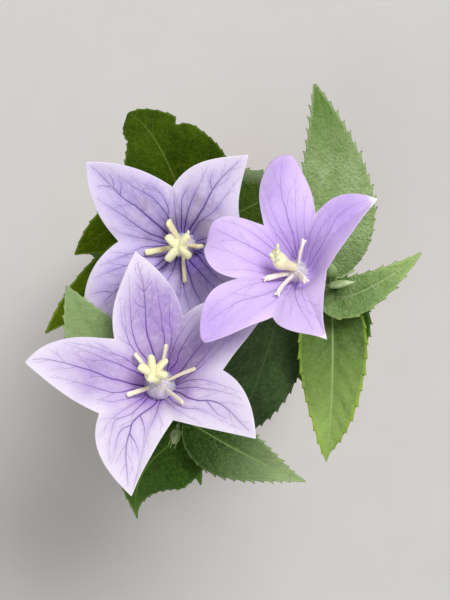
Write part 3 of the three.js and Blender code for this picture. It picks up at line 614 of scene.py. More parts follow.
LEAF_LOOKS = {
    "dark": dict(deep=(40, 64, 0), body=(60, 84, 4), light=(94, 116, 24), vein=(112, 134, 56),
                 rim=(116, 140, 60), roughness=0.55, specular=0.06, speck_share=0.28),
    "moss": dict(deep=(60, 84, 0), body=(80, 104, 0), light=(108, 130, 8), vein=(120, 144, 40),
                 rim=(140, 168, 60), roughness=0.5, specular=0.06, speck_share=0.22),
    # A darker, greyer copy of the leaf green: painted shade for the leaf under the blooms and for
    # every other lower leaf.
    "shade": dict(deep=(42, 64, 28), body=(56, 80, 38), light=(96, 120, 74), vein=(84, 108, 62),
                  rim=(96, 122, 70), roughness=0.55, specular=0.14, speck_share=0.35),
    "mid": dict(deep=(26, 56, 0), body=(38, 70, 0), light=(98, 134, 52), vein=(136, 164, 92),
                rim=(158, 182, 122), tip=(168, 190, 134), tip_from=0.25, tip_share=0.95,
                roughness=0.42, specular=0.2, speck_share=0.2, net_share=0.2),
    "rich": dict(deep=(36, 68, 0), body=(48, 82, 4), light=(96, 136, 36), vein=(114, 156, 50),
                 rim=(124, 158, 70), tip=(98, 140, 48), tip_from=0.6, tip_share=0.7, roughness=0.4,
                 specular=0.16, speck_share=0.22),
    # The light, pale and fresh tones are partly the leaves' own pale green and partly painted sheen,
    # the paleness of light glancing off them.
    "light": dict(deep=(140, 170, 96), body=(171, 196, 134), light=(204, 217, 178),
                  vein=(172, 192, 138), rim=(188, 206, 154), tip=(74, 110, 0), tip_from=0.42,
                  tip_share=0.9, roughness=0.5, specular=0.25, speck_share=0.9, rib_share=0.2,
                  vein_share=0.1, net=(104, 134, 66), net_share=0.45, relief=0.7),
    "pale": dict(deep=(128, 154, 94), body=(136, 162, 104), light=(160, 182, 130),
                 vein=(150, 174, 118), rim=(168, 188, 136), roughness=0.55, specular=0.2,
                 speck_share=0.15, rib_share=0.3, vein_share=0.15, net_share=0.1, relief=0.3),
    "fresh": dict(deep=(108, 142, 66), body=(140, 170, 102), light=(176, 198, 142),
                  vein=(186, 204, 154), rim=(182, 204, 126), tip=(156, 184, 104), tip_from=0.4,
                  tip_share=0.85, roughness=0.45, specular=0.3, speck_share=0.4, net=(86, 116, 52),
                  net_share=0.4, vein_share=0.4, relief=0.8),
    # Its pale tip tone fades in from near the base, so the base stays darker: painted shadow from the
    # leaf above it.
    "bright": dict(deep=(46, 72, 8), body=(62, 90, 20), light=(112, 142, 66), vein=(176, 198, 134),
                   rim=(156, 186, 60), tip=(168, 200, 108), tip_from=0.12, tip_share=1, rim_width=1.1,
                   rim_share=0.9, roughness=0.48, specular=0.2, speck_share=0.16, rib_share=0.6,
                   vein_share=0.16, net_share=0.12, relief=0.25),
    "folded": dict(deep=(44, 68, 2), body=(64, 88, 14), light=(104, 128, 48), vein=(122, 142, 74),
                   rim=(142, 162, 118), rim_width=6, rim_share=0.85, roughness=0.55, specular=0.14,
                   speck_share=0.4, net_share=0.25),
}
LEAF_DEFAULTS = dict(relief=0.6, net_share=0.2, vein_share=0.25, rib_share=0.6, rim_width=0.8,
                     rim_share=0.5, tip=(0, 0, 0), tip_from=0.9, tip_share=0)
# Foot, body, tip and speckle
STALK_LOOKS = {
    "stem": ((108, 112, 62), (112, 142, 74), (134, 162, 98), (150, 172, 110)),
    "calyx": ((120, 150, 88), (128, 158, 96), (150, 172, 118), (160, 182, 128)),
    "bud": ((92, 124, 54), (116, 150, 80), (158, 184, 122), (172, 194, 140)),
    "bud_pale": ((96, 126, 56), (140, 168, 100), (192, 210, 156), (222, 232, 200)),
    # Its pale tip and streaks are partly painted highlights.
    "bud_dull_painted_highlights": ((72, 98, 40), (100, 128, 66), (186, 200, 146), (176, 190, 150)),
}
# Body, painted shade in the grain's hollows, root and relief
DOWNY_LOOKS = {
    "dome": ((242, 237, 238), (216, 207, 222), (184, 168, 208), 0.4),
    "filament": ((255, 251, 226), (252, 240, 204), (244, 232, 214), 0.25),
    "filament_yellow": ((255, 248, 202), (252, 240, 176), (242, 230, 180), 0.25),
    "filament_pale": ((255, 250, 236), (250, 236, 220), (240, 226, 226), 0.25),
    "stigma": ((255, 252, 214), (250, 244, 184), (244, 236, 176), 0.25),
}

MATERIALS = {"clay": clay_material(), "potting_soil": soil_material()}
for tone, look in LEAF_LOOKS.items():
    MATERIALS[f"leaf_{tone}"] = leaf_material(f"leaf_{tone}", look)
for letter, look in PETAL_LOOKS.items():
    MATERIALS[f"petal_{letter}"] = petal_material(f"petal_{letter}", look)
for name, look in STALK_LOOKS.items():
    MATERIALS[name] = stalk_material(name, *look)
for name, look in DOWNY_LOOKS.items():
    MATERIALS[name] = downy_material(name, *look)


def dress(piece, nodes, material):
    """Gives a piece its material and says what it rides on and stands for."""
    piece.data.materials.append(MATERIALS[material])
    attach(piece, "root")
    if nodes:
        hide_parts(*nodes)


def bloom_matrix(letter):
    """Turns +Z to the bloom's axis."""
    axis = Vector(BLOOM_FRAMES[letter]["axis"]).normalized()
    return np.array(Vector(UP).rotation_difference(axis).to_matrix())


def add_piece(name, parts, nodes, material, bloom=None, flat_from=None):
    """A dressed piece from parts in the pot's frame, or in the frame of the bloom named."""
    points, faces, values = join_parts(parts)
    if bloom:
        points = points @ bloom_matrix(bloom).T + np.array(BLOOM_FRAMES[bloom]["base"])
    dress(mesh_object(name, points, faces, values, flat_from), nodes, material)


# Corollas

def bowl_height(radius, slope):
    """Height of the inside above its floor: a flat floor, a bowl and a slope."""
    q = np.maximum(0, radius - THROAT_FLOOR_RADIUS)
    return BOWL_DEPTH * (1 - np.exp(-((q / BOWL_SPREAD) ** 2))) + slope * q


def wrapped(angle):
    """An angle from minus half a turn to half a turn."""
    return (angle + math.pi) % TURN - math.pi


def bell(value, spread):
    """A bell curve that is 1 at zero."""
    return np.exp(-((value / spread) ** 2))


def lobe_margin(sinus, tip, bulges, side, count):
    """One side of a lobe as points from the sinus to the tip."""
    near_tip, near_sinus = bulges
    line = tip - sinus
    out = np.array([-line[1], line[0]]) * side
    second = sinus + line / 3 + out * near_sinus
    third = sinus + line * 2 / 3 + out * near_tip
    return np.array([bezier(sinus, second, third, tip)(t) for t in np.linspace(0, 1, count)])


# Veins: a width, whether they run on past their last point, and then x and y of each point, which
# are given in the photo's pixels
VEINS_A = [
    (0.7, False, 154, 356, 150, 343, 147, 332, 146, 321, 145, 301, 143, 282, 140, 271, 137.5, 262),
    (0.5, True, 147, 360, 138, 348, 134, 336, 131.5, 325, 130, 302),
    (0.36, True, 141, 360, 130, 344, 126, 334, 122.5, 325, 121.5, 316),
    (0.5, True, 164, 352, 164, 337, 162, 327, 161, 316, 158.5, 297),
    (0.4, True, 169, 356, 171, 345, 172, 334, 170, 323, 169.5, 311),
    (0.3, False, 144.5, 292, 138, 286, 135, 282),
    (0.3, False, 144.5, 292, 148.5, 286, 152, 281),
    (0.3, False, 145, 307.5, 138, 305, 132.5, 297),
    (0.7, False, 146, 386, 131.5, 384, 120, 380.5, 109, 378, 98, 373, 82.5, 368, 70, 364.5, 58, 361.5,
     44.5, 359, 33, 359.5),
    (0.5, True, 148, 378, 138, 373, 127, 368, 116, 363, 105, 359, 96, 355),
    (0.4, True, 148, 373, 138, 367.5, 130, 361, 122.5, 356.5, 114, 354, 105, 351),
    (0.45, True, 146, 389, 132, 390, 125, 392, 115, 393, 105, 391, 96, 388, 87, 385),
    (0.32, True, 148, 393, 139, 396, 128, 398.5, 120, 400, 113, 402, 104, 400.5),
    (0.7, False, 158, 399, 149, 409, 138, 417, 132, 424, 130, 432, 127.5, 440, 126, 452, 126.5, 462,
     127.5, 473, 128, 486),
    (0.42, True, 154, 397, 149, 397, 140, 406, 131, 414, 121.5, 418, 115, 421, 112, 429),
    (0.34, True, 151, 396, 146, 396, 136.5, 402, 125, 409, 115.5, 416),
    (0.42, True, 161, 400, 159.5, 404, 157, 412, 154, 419.5, 150.5, 426.5),
    (0.34, True, 140, 416, 144.5, 427.5, 144, 435.5),
    (0.34, True, 131, 425, 121.5, 430, 117, 440, 115.5, 447),
    (0.34, True, 129.5, 433, 134.5, 441, 138, 449, 138.5, 456),
    (0.7, False, 172, 391, 179, 392.5, 188, 397.5, 197.5, 400, 209, 400.5, 218, 403, 226, 408, 234,
     415.5, 241, 423, 249, 430),
    (0.45, True, 173, 388, 179, 388.5, 188, 387.5, 197.5, 387.5, 207, 389, 217, 390.5),
    (0.45, True, 172, 386, 179, 384, 187, 380.5, 195, 379.5, 205.5, 380, 214.5, 383),
    (0.4, True, 169, 397, 175.5, 403.5, 182.5, 407.5, 192, 408.5, 201, 409, 208, 412.5),
    (0.3, True, 165, 399, 170, 404.5, 175.5, 409, 182.5, 413),
    (0.32, False, 207, 401, 212.5, 408, 218, 414, 226, 418.5),
    (0.75, True, 172, 380, 180, 372.5, 186, 364.5, 193, 355, 203, 342.5),
    (0.5, True, 168, 375, 171, 369, 177, 362, 179, 353, 185, 342.5, 193, 330),
    (0.36, True, 167, 372, 170, 359, 173.5, 349.5, 177, 339, 182.5, 330),
    (0.45, True, 174, 381, 188, 371, 197.5, 364.5, 205.5, 355, 212.5, 346),
    (0.34, True, 176, 383, 196.5, 370, 204.5, 363, 212.5, 355),
]
VEINS_B = [
    (0.75, False, 170, 236, 158, 225, 147, 216, 136, 206.5, 127, 201, 119, 194.5, 112.5, 187.5, 104.5,
     179, 96.5, 171, 91, 167),
    (0.5, True, 172, 231, 169, 221, 165, 212.5, 159, 205, 152.5, 198.5, 144.5, 193, 137, 189, 129,
     183.5),
    (0.4, True, 173, 229, 168.5, 216, 168.5, 209, 166, 201, 161.5, 194.5, 156, 189, 149, 186),
    (0.36, True, 176, 235, 169, 226, 162.5, 218, 158, 212.5),
    (0.55, True, 169, 241, 157, 236, 149, 233, 140, 228, 131, 221.5, 124.5, 216, 117, 211.5, 110,
     207),
    (0.4, True, 168, 244, 156, 241, 147, 239, 138, 237.5, 130, 235.5),
    (0.34, False, 110.5, 187, 102.5, 185.5, 97, 186.5),
    (0.34, False, 113.5, 188, 112.5, 180, 108, 173),
    (0.34, False, 120, 193.5, 121.5, 185.5, 119, 180),
    (0.75, False, 187, 235, 190, 229, 196, 219, 203, 208, 208.5, 197, 214, 187, 220.5, 178.5, 229.5,
     169.5, 239, 161),
    (0.6, True, 184, 233, 184.5, 228, 186, 220, 189, 209, 192, 200, 196, 191),
    (0.5, True, 181.5, 232, 181.5, 226, 181.5, 217, 181.5, 208, 182, 199, 185.5, 191),
    (0.36, True, 178, 231, 176, 221.5, 175, 212.5, 174.5, 203.5),
    (0.42, True, 190, 237, 198.5, 222.5, 206, 217, 214, 211.5, 219.5, 204.5),
    (0.32, False, 211.5, 189, 210.5, 180, 213, 173),
    (0.5, True, 168, 246, 163, 246, 153.5, 246.5, 143.5, 247, 136, 249.5),
    (0.5, True, 169, 252, 165, 255, 157, 257, 146, 257, 133.5, 253.5, 117, 258.5),
    (0.55, True, 171, 255, 163.5, 259.5, 156, 265.5, 141, 266, 127, 265.5, 118, 268.5, 109, 271.5),
    (0.75, False, 172, 257, 168, 261.5, 162.5, 268, 140, 280, 118.5, 289, 111, 295, 103.5, 302.5),
    (0.55, True, 174, 258, 169, 263, 165, 268, 160.5, 273),
    (0.55, True, 176, 259, 175.5, 262, 172.5, 271.5, 167.5, 280),
    (0.4, True, 180, 260, 181, 275, 180.5, 287, 179.5, 295),
    (0.45, True, 182, 260, 184, 285, 186, 295, 189, 306),
    (0.75, True, 185, 259, 187.5, 268, 190.5, 278, 194, 288.5, 200.5, 301),
    (0.7, True, 188, 257, 191.5, 263, 199.5, 271.5, 206, 279.5, 214, 287),
    (0.75, True, 190, 252, 196, 254, 204, 263, 210.5, 270.5, 217, 277),
    (0.6, True, 191, 250, 198, 251.5, 206, 256, 213, 261, 220.5, 267),
    (0.55, True, 191, 247, 199.5, 249, 208, 252.5),
    (0.34, False, 112.5, 292.5, 102, 291.5, 92.5, 294),
]
VEINS_C = [
    (0.45, True, 298, 264, 295.5, 247, 293, 234.5, 289.5, 223.5, 286, 209.5, 282, 196, 281, 182.5,
     281.5, 170),
    (0.36, True, 296, 260, 289.5, 244.5, 283, 233, 277.5, 223.5, 272.5, 212),
    (0.32, True, 294, 259, 290.5, 253, 282, 241, 274.5, 231, 269.5, 221),
    (0.32, True, 300, 260, 299, 247, 297.5, 234.5, 296.5, 223.5),
    (0.32, True, 303, 260, 305, 241, 304.5, 229.5, 304, 217),
    (0.45, True, 304, 270, 307.5, 267.5, 314.5, 257, 320.5, 247, 327, 236, 333, 224.5, 338, 216,
     345.5, 209.5, 355.5, 204.5),
    (0.38, True, 303, 268, 306.5, 265.5, 310.5, 253, 315.5, 241, 320.5, 229.5, 327, 219.5),
    (0.32, True, 303, 263, 307, 249.5, 309.5, 237, 314.5, 224.5),
    (0.3, True, 308, 273, 319.5, 258, 327, 247, 333, 237),
    (0.45, True, 289, 272, 284.5, 269.5, 276, 262, 264.5, 254.5, 253.5, 248, 242.5, 242.5, 231, 236.5,
     220, 231),
    (0.34, True, 283, 260, 274.5, 250.5, 264.5, 242, 257, 236, 249.5, 231),
    (0.3, True, 286, 259, 277, 248, 269.5, 238.5, 262, 231),
    (0.34, True, 289, 274, 274.5, 270.5, 262, 267, 249.5, 262, 240, 257),
    (0.3, True, 289, 276, 274.5, 274.5, 262, 273, 249.5, 270),
    (0.5, True, 290, 283, 282, 287, 274.5, 290.5, 264.5, 295, 254.5, 297.5, 244.5, 300, 235, 303.5,
     225, 310, 216, 316),
    (0.38, True, 290, 280, 282, 280.5, 269.5, 281, 257, 283, 244.5, 287),
    (0.3, True, 288, 288, 275, 300, 264, 308),
    (0.45, True, 297, 284, 295.5, 288, 297, 301, 302, 311.5, 305.5, 316.5),
    (0.34, True, 295, 285, 294.5, 289.5, 290.5, 298),
    (0.34, True, 294, 284, 292, 288, 287, 295.5, 283.5, 303),
    (0.36, True, 302, 281, 302.5, 285.5, 302.5, 293, 306, 305),
]

# Lobes have their tip and the sinus after it as a bearing and a reach in the bloom's own frame,
# and how far each side bulges near the tip and near the sinus. Patches of deeper colour have
# their place in the photo's pixels, a radius and a strength.
# Some violet and grey patches are painted shade and shadow: where a lobe slopes away from the light
# and where one bloom overhangs another.
BLOOMS = {
    "a": dict(
        slope=0.22, slot="petal_pale", veins=VEINS_A, vein_strength=1,
        lobes=[
            dict(tip=(100, 35.2), sinus=(137, 16), anticlockwise=(0.08, 0.16), clockwise=(0.1, 0.17),
                 arch=-0.5),
            dict(tip=(175, 35.1), sinus=(215, 17.9), anticlockwise=(0.04, 0.08),
                 clockwise=(0.24, 0.11), arch=0.2),
            dict(tip=(263, 34), sinus=(293, 13), anticlockwise=(-0.03, 0), clockwise=(0.14, 0.24)),
            dict(tip=(326, 33.7), sinus=(364, 18.3), anticlockwise=(0.13, 0.19), clockwise=(0, 0.04)),
            dict(tip=(30, 34.9), sinus=(67, 18), anticlockwise=(0.12, 0.27), clockwise=(0.05, 0.01),
                 curl=2),
        ],
        # Some of these violet patches are painted shade: on the right half of the top lobe and on the
        # lobe under bloom c.
        blush=[(166, 302, 5, 0.85), (151, 320, 6, 0.6), (158, 340, 5, 0.5), (98, 362, 5, 0.5),
               (86, 386, 4, 0.5), (118, 378, 6, 0.5), (136, 372, 4, 0.5), (203, 343, 7, 0.6),
               (138, 330, 4, 0.4), (146, 300, 6, 0.5), (159, 312, 5, 0.5), (70, 352, 5, 0.2),
               (95, 370, 6, 0.35), (157, 311, 6, 0.85), (167, 313, 6, 0.5), (170, 324, 4, 0.35),
               (190, 360, 5, 0.5), (232, 338, 5, 0.45), (178, 363, 4, 0.6)],
        streak=[(174, 366, 2, 0.85), (187, 393, 2, 0.75), (146, 399, 3.2, 0.75), (140, 392, 2, 0.45),
                (150, 362, 2, 0.45), (142, 372, 2, 0.45), (158, 400, 2, 0.5)],
    ),
    "b": dict(
        slope=0.16, slot="petal_grey", veins=VEINS_B, vein_strength=1,
        hidden_veins=[(5, 0.6), (358, 0.5), (18, 0.4)],
        lobes=[
            dict(tip=(137, 35), sinus=(175, 17.3), anticlockwise=(0.12, 0.13), clockwise=(0.11, 0.12),
                 arch=0.3),
            dict(tip=(221, 35.5), sinus=(253, 18), anticlockwise=(0.12, 0.15), clockwise=(0.18, 0.23),
                 curl=2.5),
            dict(tip=(286, 32), sinus=(318, 18.5), anticlockwise=(0.1, 0.15), clockwise=(0.1, 0.15)),
            dict(tip=(352, 31), sinus=(382, 18.7), anticlockwise=(0.1, 0.15), clockwise=(0.1, 0.15),
                 curl=2),
            dict(tip=(52, 32.4), sinus=(96, 16.8), anticlockwise=(0.1, 0.24),
                 clockwise=(-0.03, -0.12), arch=0.3),
        ],
        blush=[(133, 195, 4, 0.45), (152, 188, 4, 0.5), (95, 172, 3, 0.35), (160, 222, 5, 0.4),
               (205, 205, 6, 0.25), (205, 265, 5, 0.6), (120, 232, 4, 0.2), (110, 290, 5, 0.3),
               (215, 285, 6, 0.4), (190, 275, 5, 0.4), (120, 198, 9, 0.35), (118, 270, 9, 0.3),
               (150, 225, 6, 0.2)],
        streak=[(200, 256, 2, 0.55), (195, 263, 2.2, 0.5), (206, 264, 2.4, 0.4), (188, 268, 2, 0.45),
                (183, 223, 2, 0.35), (191, 226, 2, 0.3), (210, 272, 2.2, 0.35)],
        # Grey stains, and at 220, 270 a painted shadow that bloom c casts on this bloom.
        stain=[(147, 207, 3, 0.65), (140, 218, 3, 0.5), (150, 236, 2.5, 0.45), (198, 199, 2.6, 0.6),
               (213, 211, 2.6, 0.5), (207, 222, 4, 0.45), (220, 270, 4, 0.5), (195, 190, 4, 0.2)],
    ),
    "c": dict(
        slope=0.3, slot="petal_violet", veins=VEINS_C, vein_strength=0.8,
        lobes=[
            dict(tip=(93, 32.8), sinus=(125.5, 12.9), anticlockwise=(0.34, 0.2),
                 clockwise=(0.07, 0.11), curl=4, arch=-1.5, blunt=0.2),
            dict(tip=(164, 25.6), sinus=(200.5, 14.6), anticlockwise=(0.18, 0.34),
                 clockwise=(0.51, 0.17), curl=4, blunt=0.3),
            dict(tip=(230, 33.4), sinus=(258, 17.8), anticlockwise=(0.07, 0.05),
                 clockwise=(0.18, 0.34), curl=2, blunt=0.12),
            dict(tip=(293.7, 28.6), sinus=(342.7, 9.5), anticlockwise=(-0.08, 0.02),
                 clockwise=(0.03, 0.24), white_tip=1.2),
            dict(tip=(29.8, 27.2), sinus=(63.6, 14.1), anticlockwise=(0.22, 0.28),
                 clockwise=(0.03, 0.08), tilt=-1, white_tip=1.5),
        ],
        blush=[(335, 228, 7, 0.6), (345, 205, 5, 0.5), (318, 252, 4, 0.5), (272, 190, 5, 0.5),
               (282, 165, 4, 0.5), (290, 240, 6, 0.5), (202, 232, 3, 0.7), (270, 262, 5, 0.35),
               (205, 335, 4, 0.6), (268, 215, 4, 0.3), (214, 322, 6, 0.45), (203, 310, 4, 0.3)],
    ),
}


class Corolla:
    """One fused five-lobed corolla, in its bloom's own frame with the axis along +Z."""

    margin_steps = 34
    rings = 50

    def __init__(self, letter):
        self.letter = letter
        self.bloom = BLOOMS[letter]
        self.lobes = [{**LOBE_DEFAULTS, **lobe} for lobe in self.bloom["lobes"]]
        count = self.margin_steps
        v = np.linspace(-1, 1, 2 * count + 1)[:-1]
        edges = []
        for i, lobe in enumerate(self.lobes):
            before, after = polar(*self.lobes[i - 1]["sinus"]), polar(*lobe["sinus"])
            tip = polar(*lobe["tip"])
            rising = lobe_margin(before, tip, lobe["clockwise"], -1, count + 1)
            falling = lobe_margin(after, tip, lobe["anticlockwise"], 1, count + 1)[::-1]
            border = np.concatenate([rising[:-1], falling[:-1]])
            edges.append(self.round_tip(border, v, tip, lobe["blunt"]))
        self.edge = np.concatenate(edges)
        self.place = np.concatenate([2 * i + v for i in range(len(self.lobes))])
        self.reach = np.linalg.norm(self.edge, axis=1)
        self.angle = np.unwrap(np.arctan2(self.edge[:, 1], self.edge[:, 0]))

    @staticmethod
    def round_tip(border, v, tip, blunt):
        """Rounds a tip that curls under, over the share `blunt` of the lobe's sides."""
        if not blunt:
            return border
        axis = unit(tip)
        heights = border @ axis
        falls = []
        for side in (v <= 0, v >= 0):
            cut = np.argmin(np.where(side, np.abs(np.abs(v) - blunt), 9))
            falls.append(tip @ axis - heights[cut])
        inside = np.abs(v) < blunt
        back = 0.5 * min(falls) * (1 - np.abs(v[inside]) / blunt) ** 2
        border[inside] -= back[:, None] * axis
        return border

    def locate(self, x, y):
        """The reach of the border, the place round it and the distance from the axis."""
        angle = self.angle[0] + np.mod(np.arctan2(y, x) - self.angle[0], TURN)
        angles = np.append(self.angle, self.angle[0] + TURN)
        reach = np.interp(angle, angles, np.append(self.reach, self.reach[0]))
        place = np.interp(angle, angles, np.append(self.place, self.place[0] + 10))
        return reach, place, np.hypot(x, y)

    def lobe_values(self, key, place):
        """The value that the lobe at each place has."""
        numbers = np.array([lobe[key] for lobe in self.lobes])
        return numbers[np.floor((place + 1) / 2).astype(int) % len(numbers)]

    @staticmethod
    def across_lobe(place):
        """Where a place lies on its lobe, from -1 to 1."""
        return (place + 1) % 2 - 1

    def heights(self, x, y, place, g):
        """Height of the inside: the bowl, a groove down each lobe, a pleat between the lobes, an
        arch, a curl at the tip and a slow sway."""
        v = self.across_lobe(place)
        w = np.abs(v)
        arch, tilt = self.lobe_values("arch", place), self.lobe_values("tilt", place)
        relief = -g * (GROOVE_DEPTH * bell(w, 0.16) + PLEAT_DEPTH * bell(1 - w, 0.2))
        relief += (arch + tilt * np.sign(v)) * np.sin(math.pi * w) * g * g
        relief -= self.lobe_values("curl", place) * np.maximum(0, 2 * g - 1) ** 2 * (1 - w)
        relief += PETAL_SWAY * g * g * np.sin(0.45 * x + 1.3 * place) * np.cos(0.38 * y - place)
        return bowl_height(np.hypot(x, y), self.bloom["slope"]) + relief

    def share(self, x, y):
        """How far out a point is, from 0 at the floor to 1 at the border, and its place."""
        reach, place, radius = self.locate(x, y)
        g = (radius - THROAT_FLOOR_RADIUS) / (reach - THROAT_FLOOR_RADIUS)
        return np.clip(g, 0, 1), place

    def rim_distance(self, x, y):
        """Distance to the border in the bloom's plane."""
        points = np.stack([x, y], 1)
        nearest = np.full(len(points), 1e9)
        for start in range(0, len(self.edge), 20):
            gaps = np.linalg.norm(points[:, None] - self.edge[start:start + 20], axis=2)
            nearest = np.minimum(nearest, gaps.min(1))
        return nearest

    def patches(self, key, x, y):
        """A soft field of round patches. Each has its place in pixels, a radius and a strength."""
        field = np.zeros(len(x))
        for px, py, radius, strength in self.bloom.get(key, []):
            cx, cy = self.under_pixel(px, py)
            local = bell(np.hypot(x - cx, y - cy), radius)
            field = 1 - (1 - field) * (1 - strength * local)
        return field

    def under_pixel(self, px, py):
        """The point of the bloom's inside, in its own frame, that a pixel of the photo shows."""
        matrix = bloom_matrix(self.letter)
        ray = np.array([px - CENTRE_PX[0], CENTRE_PX[1] - py, -FOCAL_PX]) / FOCAL_PX
        start = (np.array(CAMERA_PLACE) - BLOOM_FRAMES[self.letter]["base"]) @ matrix
        direction = ray @ matrix
        height = 4.0
        for _ in range(12):
            x, y, _ = start + direction * (height - start[2]) / direction[2]
            spot = np.array([x]), np.array([y])
            g, place = self.share(*spot)
            height = self.heights(*spot, place, g)[0]
        return x, y

    def values(self, x, y, place, g):
        """The attributes that the petal material reads."""
        white = self.lobe_values("white_tip", place)
        aside = np.abs(self.across_lobe(place)) * WHITE_TIP_WIDTH
        away = (1 - g) * self.locate(x, y)[0] + aside
        tip = np.clip(2 - 1.2 * away / np.maximum(white, 0.3), 0, 1) * (white > 0)
        patches = {key: self.patches(key, x, y) for key in ("blush", "stain", "streak")}
        return {"edge": self.rim_distance(x, y), "reach": g, "tip": tip, **patches}

    def sheet(self):
        """The whole sheet as points, faces and attributes."""
        count = len(self.edge)
        shares = np.linspace(0, 1, self.rings) ** 0.9
        radii = THROAT_FLOOR_RADIUS + np.outer(shares, self.reach - THROAT_FLOOR_RADIUS)
        x, y = [(radii * (line / self.reach)).ravel() for line in self.edge.T]
        g = np.repeat(shares, count)
        place = np.tile(self.place, self.rings)
        top = np.stack([x, y, self.heights(x, y, place, g)], 1)
        values = self.values(x, y, place, g)
        shaped = top.reshape(self.rings, count, 3)
        around = np.roll(shaped, -1, axis=1) - np.roll(shaped, 1, axis=1)
        normals = unit_rows(np.cross(np.gradient(shaped, axis=0), around).reshape(-1, 3))
        inner = np.clip(values["edge"] / MARGIN_WIDTH, 0, 1)
        thickness = MARGIN_THICKNESS + (PETAL_THICKNESS - MARGIN_THICKNESS) * inner
        bottom = top - normals * thickness[:, None]
        points = np.concatenate([top, bottom, [[0, 0, 0], [0, 0, -PETAL_THICKNESS]]])
        total = count * self.rings
        faces = grid_faces(self.rings, count, wrap=True, flip=True)
        faces += grid_faces(self.rings, count, start=total, wrap=True)
        for j in range(count):
            following = (j + 1) % count
            a, b = total - count + j, total - count + following
            faces += [(2 * total, j, following), (2 * total + 1, total + following, total + j),
                      (a, total + a, total + b, b)]
        for key, numbers in values.items():
            middle = 10 if key == "edge" else 0
            values[key] = np.concatenate([numbers, numbers, [middle] * 2])
        return points, faces, values


# Section of a vein's ridge: place across it, darkness and height
RIB_SECTION = ((1, 0, -0.03), (0.5, 0.5, 0.02), (0, 1, 0.05), (-0.5, 0.5, 0.02), (-1, 0, -0.03))


